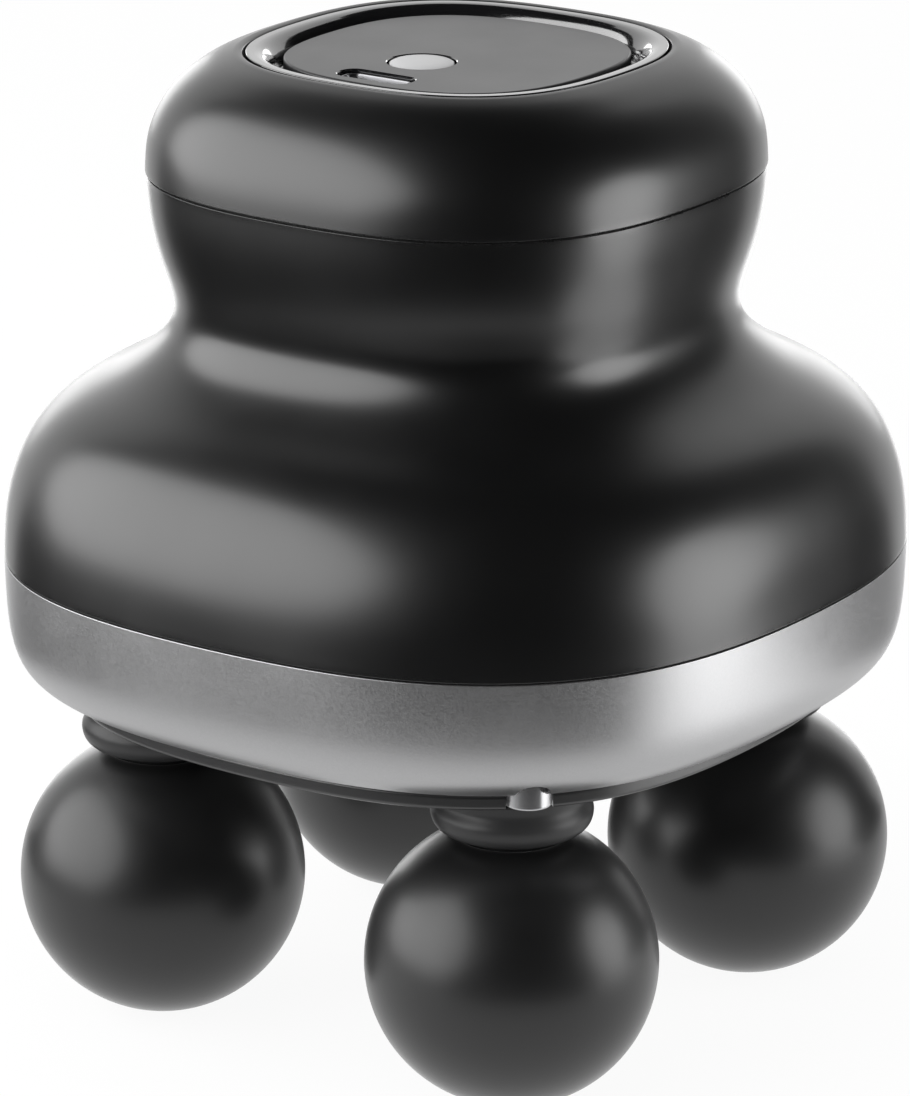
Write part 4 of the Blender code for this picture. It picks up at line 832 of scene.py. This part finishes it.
# %% Panel
BUTTON_RADIUS = 3.6
HOLE_RADIUS, HOLE_MOUTH, HOLE_STEPS = BUTTON_RADIUS + 0.25, BUTTON_RADIUS + 0.5, 96
SLOT_SIZE, SLOT_MOUTH = (9.4, 3.7, 1.6), 0.25
CUT_LOW = PANEL_BOTTOM - 1
# A mouth starts to flare this far below the panel's top, and is cut to this far above it.
HOLE_FLARE, HOLE_CUT_TOP = PANEL_TOP - 0.1, PANEL_TOP + 0.15
SLOT_FLARE, SLOT_CUT_TOP = PANEL_TOP - 0.12, PANEL_TOP + 0.13
panel = turn_outline("control_plate", rounded([
    (0.0, PANEL_TOP), (PANEL_RADIUS, PANEL_TOP, 0.3), (PANEL_RADIUS, PANEL_BOTTOM, 0.1),
    (0.0, PANEL_BOTTOM)]), finishes["panel_grey"])
carve(panel, turn_round("button_hole", [
    (0.0, CUT_LOW), (HOLE_RADIUS, CUT_LOW), (HOLE_RADIUS, HOLE_FLARE),
    (HOLE_MOUTH, HOLE_CUT_TOP), (0.0, HOLE_CUT_TOP)], gloss, HOLE_STEPS,
    (FEATURES_X, BUTTON_Y, 0.0)))
carve(panel, stacked("port_slot", *SLOT_SIZE, [
    (0.0, CUT_LOW), (0.0, SLOT_FLARE), (SLOT_MOUTH, SLOT_CUT_TOP)], gloss,
    (FEATURES_X, PORT_Y)))
dress(panel, "housing", "control_panel")

# %% [markdown]
# ## Button
# A light grey key with a very shallow dome, held under the panel by a flange. It rides the
# button's own body.

# %% Button
BUTTON_CROWN = ((0.0, 109.98), (1.2, 109.96), (2.4, 109.88), (3.2, 109.74))
BUTTON_EDGE_HEIGHT = 109.55
FLANGE_RADIUS, FLANGE_TOP, FLANGE_BOTTOM = 4.6, 107.3, 106.5
KEY_BOSS_RADIUS, KEY_BOSS_BOTTOM = 1.7, 106.0
button = turn_round("power_key", rounded([
    *BUTTON_CROWN, (BUTTON_RADIUS, BUTTON_EDGE_HEIGHT, 0.15), (BUTTON_RADIUS, FLANGE_TOP),
    (FLANGE_RADIUS, FLANGE_TOP, 0.1), (FLANGE_RADIUS, FLANGE_BOTTOM), (KEY_BOSS_RADIUS, FLANGE_BOTTOM),
    (KEY_BOSS_RADIUS, KEY_BOSS_BOTTOM), (0.0, KEY_BOSS_BOTTOM)]),
    finishes["button_grey"], HOLE_STEPS, (FEATURES_X, BUTTON_Y, 0.0))
dress(button, "button", "power_button")

# %% [markdown]
# ## Charging port
# A standard port is a drawn metal shell with rounded ends, and a thin tongue in its middle that
# carries a row of contacts on each face. The contacts repeat, so a small tree sets them out.

# %% Port shell and tongue
PORT_CENTRE = (FEATURES_X, PORT_Y)
port_steel = finish("port_steel", (0.3, 0.3, 0.31), 0.3, 0.3 * MM, 0.002 * MM, metallic=1.0)
# Each size is a width, a depth and a corner's radius. Each level is an offset and a height.
SLEEVE_SIZE, TONGUE_SIZE = (8.9, 3.2, 1.55), (6.7, 0.7, 0.15)
SLEEVE_LEVELS = ((-0.15, 103.2), (0.0, 103.35), (0.0, 109.18), (-0.04, 109.26), (-0.15, 109.3),
                 (-0.26, 109.26), (-0.3, 109.18), (-0.3, 103.9))
TONGUE_LEVELS = ((-0.05, 104.1), (0.0, 104.2), (0.0, 108.45), (-0.08, 108.62), (-0.2, 108.7))
sleeve = stacked("port_sleeve", *SLEEVE_SIZE, SLEEVE_LEVELS, port_steel, PORT_CENTRE)
dress(sleeve, "housing", "port_shell")
tongue = stacked("port_blade", *TONGUE_SIZE, TONGUE_LEVELS, finishes["inner_plastic"], PORT_CENTRE)
dress(tongue, "housing", "port_tongue")

# %% [markdown]
# The tree lays bars along a line, makes a second row opposite the first, and sets the pair at each
# place that it is given.

# %% Contacts
contact_tree, graph = new_tree("Contact rows", {
    "Places": "Geometry", "Pitch": "Float", "Count": "Int", "Contact size": "Vector",
    "Row gap": "Float", "Finish": "Material"})
pitch, count = graph.given("Pitch"), graph.given("Count")
start = combine(graph, pitch * (count - 1) * -0.5, 0.0, 0.0)
row = graph.node("GeometryNodeMeshLine", {"mode": "OFFSET"}, {
    "Count": count, "Start Location": start, "Offset": combine(graph, pitch, 0.0, 0.0)})
bar = graph.node("GeometryNodeMeshCube", {}, {"Size": graph.given("Contact size")}, "Mesh")
row = graph.node("GeometryNodeInstanceOnPoints", {}, {"Points": row, "Instance": bar})
half_gap = graph.given("Row gap") * 0.5
pair = [graph.node("GeometryNodeTransform", {}, {"Geometry": row, "Translation": combine(
    graph, 0.0, half_gap * side, 0.0)}) for side in (-1.0, 1.0)]
pair = graph.node("GeometryNodeJoinGeometry", {}, {"Geometry": pair})
finish_tree(graph, graph.node("GeometryNodeInstanceOnPoints", {}, {
    "Points": graph.given("Places"), "Instance": pair}))
CONTACT_HEIGHT, CONTACT_SIZE = 107.0, (0.26, 0.08, 2.4)
contacts = by_tree("port_contacts", contact_tree,
                   holder_for("contacts", [(*PORT_CENTRE, CONTACT_HEIGHT)]),
                   {"Pitch": 0.5 * MM, "Count": 12, "Contact size": [s * MM for s in CONTACT_SIZE],
                    "Row gap": 0.7 * MM, "Finish": finishes["brass"]})
dress(contacts, "housing")

# %% [markdown]
# ## Balls
# Each ball is a rubber sphere with a small flat foot, and a recess at its top, where the boot's neck
# goes in. The recess has a soft round rim that catches a thin line of light.

# %% Balls
FOOT, RECESS, RIM, BORE = 0.4, 5.9, 0.9, 4.5
RECESS_FLOOR, BORE_FLOOR = 26.1, 15.4
FLAT_SHARE, ARC_PARTS, RIM_LIFT, BALL_STEPS = 0.85, 72, 0.12, 128
foot_angle = math.acos(1 - FOOT / BALL_RADIUS)
rim_angle = math.asin((RECESS + RIM) / BALL_RADIUS)
arc = [foot_angle + (math.pi - rim_angle - foot_angle) * i / ARC_PARTS for i in range(ARC_PARTS + 1)]
ball_arc = [(BALL_RADIUS * math.sin(a), BALL_HEIGHT - BALL_RADIUS * math.cos(a)) for a in arc]
crown_radius, crown_height = ball_arc[-1]
ball_line = rounded([
    (0.0, 0.0), (ball_arc[0][0] * FLAT_SHARE, 0.0), *ball_arc[1:-1],
    (crown_radius - 0.1, crown_height + 0.02), (RECESS + 0.1, crown_height + RIM_LIFT, 0.3),
    (RECESS - 0.25, RECESS_FLOOR, 0.4), (BORE, RECESS_FLOOR, 0.15), (BORE, BORE_FLOOR), (0.0, BORE_FLOOR)])
for name, (sx, sy) in CORNERS.items():
    ball = turn_round(f"rubber_ball_{name}", ball_line, finishes["ball_rubber"], BALL_STEPS,
                      (sx * BALL_PLACE, sy * BALL_PLACE, 0.0))
    dress(ball, f"{name}_ball", f"ball_{name}")

# %% [markdown]
# ## Boots
# A boot is a thin rubber bowl between the base and the ball, which folds in to a narrow neck. Two
# shallow folds run round it, as on the real one at rest.

# %% Boots
BOOT_KNOTS = ((8.5, 36.5), (8.4, 35.7), (8.4, 35.0), (8.65, 34.4), (8.9, 33.8), (8.9, 33.1),
              (8.65, 32.3), (8.2, 31.75), (7.8, 31.5), (7.3, 31.45), (6.75, 31.75), (6.15, 31.75),
              (5.6, 31.1), (5.3, 30.0), (5.25, 28.0))
BOOT_INNER = ((4.4, 28.0), (4.4, 30.6), (4.9, 32.3), (6.2, 32.8), (7.3, 32.6), (7.75, 33.3),
              (7.75, 34.6), (7.7, 36.5))
BOOT_STEPS = 96
boot_outer = smooth_line(BOOT_KNOTS, 0.18)
boot_line = closed(rounded([
    (*boot_outer[0], 0.2), *boot_outer[1:-1], (*boot_outer[-1], 0.15), *smooth_line(BOOT_INNER, 0.4)]))
for name, (sx, sy) in CORNERS.items():
    boot = turn_round(f"rubber_boot_{name}", boot_line, finishes["boot_rubber"], BOOT_STEPS,
                      (sx * BALL_PLACE, sy * BALL_PLACE, 0.0))
    x, y = sx * BALL_PLACE * MM, sy * BALL_PLACE * MM
    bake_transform(boot)
    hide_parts(f"boot_{name}")
    told(boot)

# %% [markdown]
# ## Screws
# Thirteen screws of two sizes hold the massager together, all with their heads down. One tree
# turns a screw's outline, cuts a cross recess in its head, sets a copy at each place with a turn
# of its own from a fixed seed, and makes the copies real.

# %% Screw tree
screw_tree, graph = new_tree("Cross screws", {
    "Places": "Geometry", "Outline object": "Object", "Turn steps": "Int", "Recess length": "Float",
    "Recess width": "Float", "Recess depth": "Float", "Seed": "Int", "Finish": "Material"})
outline = graph.node("GeometryNodeObjectInfo", {}, {"Object": graph.given("Outline object")},
                     "Geometry")
body = graph.node("GeometryNodeGroup", {"node_tree": turned_tree}, {
    "Outline": outline, "Turn steps": graph.given("Turn steps"), "Square share": 0.0,
    "Finish": graph.given("Finish")})
length, width = graph.given("Recess length"), graph.given("Recess width")
depth = graph.given("Recess depth") * 2.0
bars = [graph.node("GeometryNodeMeshCube", {}, {"Size": combine(graph, *size, depth)}, "Mesh")
        for size in ((length, width), (width, length))]
body = graph.node("GeometryNodeMeshBoolean", {"operation": "DIFFERENCE", "solver": "EXACT"},
                  {"Mesh 1": body, "Mesh 2": bars}, "Mesh")
turn = graph.node("FunctionNodeRandomValue", {"data_type": "FLOAT"},
                  {"Max": math.tau, "Seed": graph.given("Seed")}, 1)
finish_tree(graph, graph.node("GeometryNodeInstanceOnPoints", {}, {
    "Points": graph.given("Places"), "Instance": body, "Rotation": combine(graph, 0.0, 0.0, turn)}))

# %% [markdown]
# A screw's sizes are its head's radius and height, its shank's radius and length, and the pitch of
# its thread. The base's nine screws stand in the plate's seats. The four small ones take their
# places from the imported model.


# %% Screws
BASE_SCREW = (2.4, 1.15, 1.15, 7.4, 0.6)
SMALL_SCREW = (1.8, 0.95, 0.85, 3.9, 0.45)
BASE_RECESS, SMALL_RECESS, RECESS_DEPTH = 2.6, 1.9, 0.7
THREAD_SHARE, SEAT_GAP, SCREW_STEPS = 0.8, 0.05, 24
BASE_SEED, SMALL_SEED = 3, 5


def screw_outline(head, head_height, shank, length, pitch):
    """A flat round head with a thread of rings above it, from the head's face upwards."""
    line = [(0.0, 0.0), (head, 0.0, 0.25), (head, head_height, 0.1), (shank, head_height)]
    height = head_height + pitch
    while height < length + head_height - 2 * pitch:
        line += [(shank * THREAD_SHARE, height), (shank, height + pitch / 2)]
        height += pitch
    return rounded(line + [(shank * THREAD_SHARE, height), (0.0, height + pitch)])


def set_screws(name, places, sizes, recess, seed, nodes):
    points = [(r, 0.0, z) for r, z in screw_outline(*sizes)]
    outline = holder_for("screw_outline", points, [(i, i + 1) for i in range(len(points) - 1)])
    screws = by_tree(name, screw_tree, holder_for(name, places), {
        "Outline object": outline, "Turn steps": SCREW_STEPS, "Recess length": recess * MM,
        "Recess width": recess / 4 * MM, "Recess depth": RECESS_DEPTH * MM, "Seed": seed,
        "Finish": finishes["steel"]})
    bpy.data.objects.remove(outline)
    dress(screws, "housing", *nodes)


SIDES = ("east", "north", "west", "south")
set_screws("base_screws", [(x, y, UNDERSIDE + SEAT_GAP) for x, y in seats], BASE_SCREW,
           BASE_RECESS, BASE_SEED,
           ["post_screw", *(f"chassis_screw_{side}" for side in SIDES),
            *(f"grip_screw_{side}" for side in SIDES)])
for group in ("motor_screw", "board_screw"):
    places = []
    for number in (1, 2):
        low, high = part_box(f"{group}_{number}")
        places.append(((low[0] + high[0]) / 2 / MM, (low[1] + high[1]) / 2 / MM, low[2] / MM))
    set_screws(f"{group}s", places, SMALL_SCREW, SMALL_RECESS, SMALL_SEED,
               [f"{group}_{number}" for number in (1, 2)])

# %% [markdown]
# ## Floor, background and light
# The photograph has a white ground without a horizon, a soft light at each side, and darkness in
# front and above, which leaves the middle of every black piece nearly black. Here a white floor and
# a white world give the ground, area lamps give the lights, and black cloths give the darkness.


# %% Floor
def plain_material(name):
    material = bpy.data.materials.new(name)
    material.use_nodes = True
    material.node_tree.nodes.clear()
    return material, Graph(material.node_tree)


def stage_piece(name, points, faces, material):
    mesh = bpy.data.meshes.new(name)
    mesh.from_pydata(points, [], faces)
    mesh.materials.append(material)
    thing = bpy.data.objects.new(name, mesh)
    bpy.context.scene.collection.objects.link(thing)
    thing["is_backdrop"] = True
    return thing


def seen_rays(graph):
    """1 for the rays that look: from the camera, off gloss and through glass."""
    rays = graph.node("ShaderNodeLightPath", output="Is Camera Ray")
    return rays.op("MAXIMUM", rays.out("Is Glossy Ray")).op("MAXIMUM", rays.out("Is Transmission Ray"))


floor_material, graph = plain_material("floor_white")
WHITE = (1.0, 1.0, 1.0, 1.0)
GROUND_GLOW, WORLD_FILL = 0.93, 0.7
white = graph.node("ShaderNodeEmission", {}, {"Color": WHITE, "Strength": 1.0})
place = graph.node("ShaderNodeTexCoord", output="Object")
paper = graph.mix(noise(graph, place, 4 * MM), (0.88, 0.88, 0.88, 1.0), (0.92, 0.92, 0.92, 1.0))
diffuse = graph.node("ShaderNodeBsdfDiffuse", {}, {"Color": paper})
mixed = graph.node("ShaderNodeMixShader", {}, {0: seen_rays(graph) * GROUND_GLOW, 1: diffuse, 2: white})
graph.node("ShaderNodeOutputMaterial", {}, {"Surface": mixed})
FLOOR_HALF, FLOOR_HEIGHT = 3.0, -0.05 * MM
stage_piece("floor", [(x * FLOOR_HALF, y * FLOOR_HALF, FLOOR_HEIGHT)
                      for x, y in ((-1, -1), (1, -1), (1, 1), (-1, 1))], [(0, 1, 2, 3)], floor_material)

# %% [markdown]
# The world is pure white for the rays that look at it, and dimmer for the light that it gives.

# %% World
world = bpy.data.worlds.new("world")
bpy.context.scene.world = world
world.use_nodes = True
world.node_tree.nodes.clear()
graph = Graph(world.node_tree)
fill = graph.node("ShaderNodeBackground", {}, {"Color": WHITE, "Strength": WORLD_FILL})
white = graph.node("ShaderNodeBackground", {}, {"Color": WHITE, "Strength": 1.0})
mixed = graph.node("ShaderNodeMixShader", {}, {0: seen_rays(graph), 1: fill, 2: white})
graph.node("ShaderNodeOutputWorld", {}, {"Surface": mixed})

# %% [markdown]
# A glossy black body shows whatever stands round it, and a white room would turn it grey. So black
# cloths hang in front and overhead, and one lies on the table. Only reflections show them.

# %% Black cloths
OBJECT_MIDDLE = Vector((0.0, 0.0, 60 * MM))
CLOTH_RADIUS, CLOTH_SPAN = 1.15, 130
TABLE_CLOTH_REACHES, TABLE_CLOTH_HEIGHT = (0.12, 0.4, 0.8, 1.2), 0.3 * MM
cloth_material, graph = plain_material("black_cloth")
place = graph.node("ShaderNodeTexCoord", output="Object")
cloth = graph.mix(noise(graph, place, 3 * MM), (0.003, 0.003, 0.003, 1.0), (0.006, 0.006, 0.006, 1.0))
cloth = graph.node("ShaderNodeBsdfDiffuse", {}, {"Color": cloth})
graph.node("ShaderNodeOutputMaterial", {}, {"Surface": cloth})


def hang_cloth(name, rows):
    """A cloth through rows of points, which takes no light from the floor."""
    wide = len(rows[0])
    faces = [(a, a + 1, a + wide + 1, a + wide) for row in range(len(rows) - 1)
             for a in range(row * wide, row * wide + wide - 1)]
    cloth = stage_piece(name, [point for row in rows for point in row], faces, cloth_material)
    cloth.visible_camera = cloth.visible_diffuse = cloth.visible_shadow = False


FRONT = round(CAMERA_AZIMUTH)
side_turns = range(FRONT - CLOTH_SPAN, FRONT + CLOTH_SPAN + 1, 5)
hang_cloth("front_cloth", [[OBJECT_MIDDLE + towards(turn, rise) * CLOTH_RADIUS for turn in side_turns]
                           for rise in range(-3, 52, 5)])
hang_cloth("top_cloth", [[OBJECT_MIDDLE + towards(turn, rise) * CLOTH_RADIUS
                          for turn in range(0, 361, 10)] for rise in range(46, 91, 4)])
hang_cloth("table_cloth", [[towards(turn, 0) * reach + Vector((0.0, 0.0, TABLE_CLOTH_HEIGHT))
                            for turn in side_turns] for reach in TABLE_CLOTH_REACHES])

# %% [markdown]
# Every lamp has a real size, because its shape shows in the gloss. Two softboxes stand at the
# sides and two rim strips behind. Three panels lie on the table and light the curves from below. A
# lamp's power is pi times its level and its area, which keeps its face equally bright at any size.

# %% Lamps
# Azimuth, elevation, distance, width, height and level.
SOFTBOXES = {"left_softbox": (FRONT - 79, 19, 0.5, 0.86, 0.57, 4.0),
             "right_softbox": (FRONT + 76, 4, 0.25, 0.17, 0.18, 4.6),
             "left_rim_strip": (FRONT - 160, 0, 0.9, 0.3, 0.45, 2.5),
             "right_rim_strip": (FRONT + 160, 0, 0.9, 0.3, 0.45, 2.5)}
# Azimuth, distance, width, length and level.
FLOOR_PANELS = {"right_floor_panel": (FRONT + 74, 0.18, 0.11, 0.14, 2.4),
                "left_rim_panel": (FRONT - 162, 0.24, 0.09, 0.28, 2.0),
                "right_rim_panel": (FRONT + 162, 0.24, 0.09, 0.28, 2.0)}
FLOOR_PANEL_HEIGHT = 1 * MM
SHAPE_AREA = {"ELLIPSE": math.pi / 4, "RECTANGLE": 1.0}


def area_lamp(name, shape, width, height, level, place, target):
    """A lamp with a shape, which the camera doesn't see."""
    data = bpy.data.lights.new(name, "AREA")
    data.shape, data.size, data.size_y = shape, width, height
    data.energy = level * math.pi * width * height * SHAPE_AREA[shape]
    lamp = aim(name, data, place, target)
    lamp.visible_camera = False
    return lamp


for name, (azimuth, elevation, distance, width, height, level) in SOFTBOXES.items():
    place = OBJECT_MIDDLE + towards(azimuth, elevation) * distance
    area_lamp(name, "ELLIPSE", width, height, level, place, OBJECT_MIDDLE)
for name, (azimuth, distance, width, length, level) in FLOOR_PANELS.items():
    place = towards(azimuth, 0) * distance + Vector((0.0, 0.0, FLOOR_PANEL_HEIGHT))
    lamp = area_lamp(name, "RECTANGLE", width, length, level, place, place + Vector((0.0, 0.0, 1.0)))
    lamp.rotation_euler[2] = math.radians(azimuth)
print(f"{len(SOFTBOXES) + len(FLOOR_PANELS)} lamps")

bpy.context.scene.view_settings.view_transform = "Standard"

# %% [markdown]
# ## Sizes and the end
# The finished scene's box is printed, in millimetres.

# %% Sizes and the end
low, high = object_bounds()
print("visual box", [round(v / MM, 2) for v in (*low, *high)])
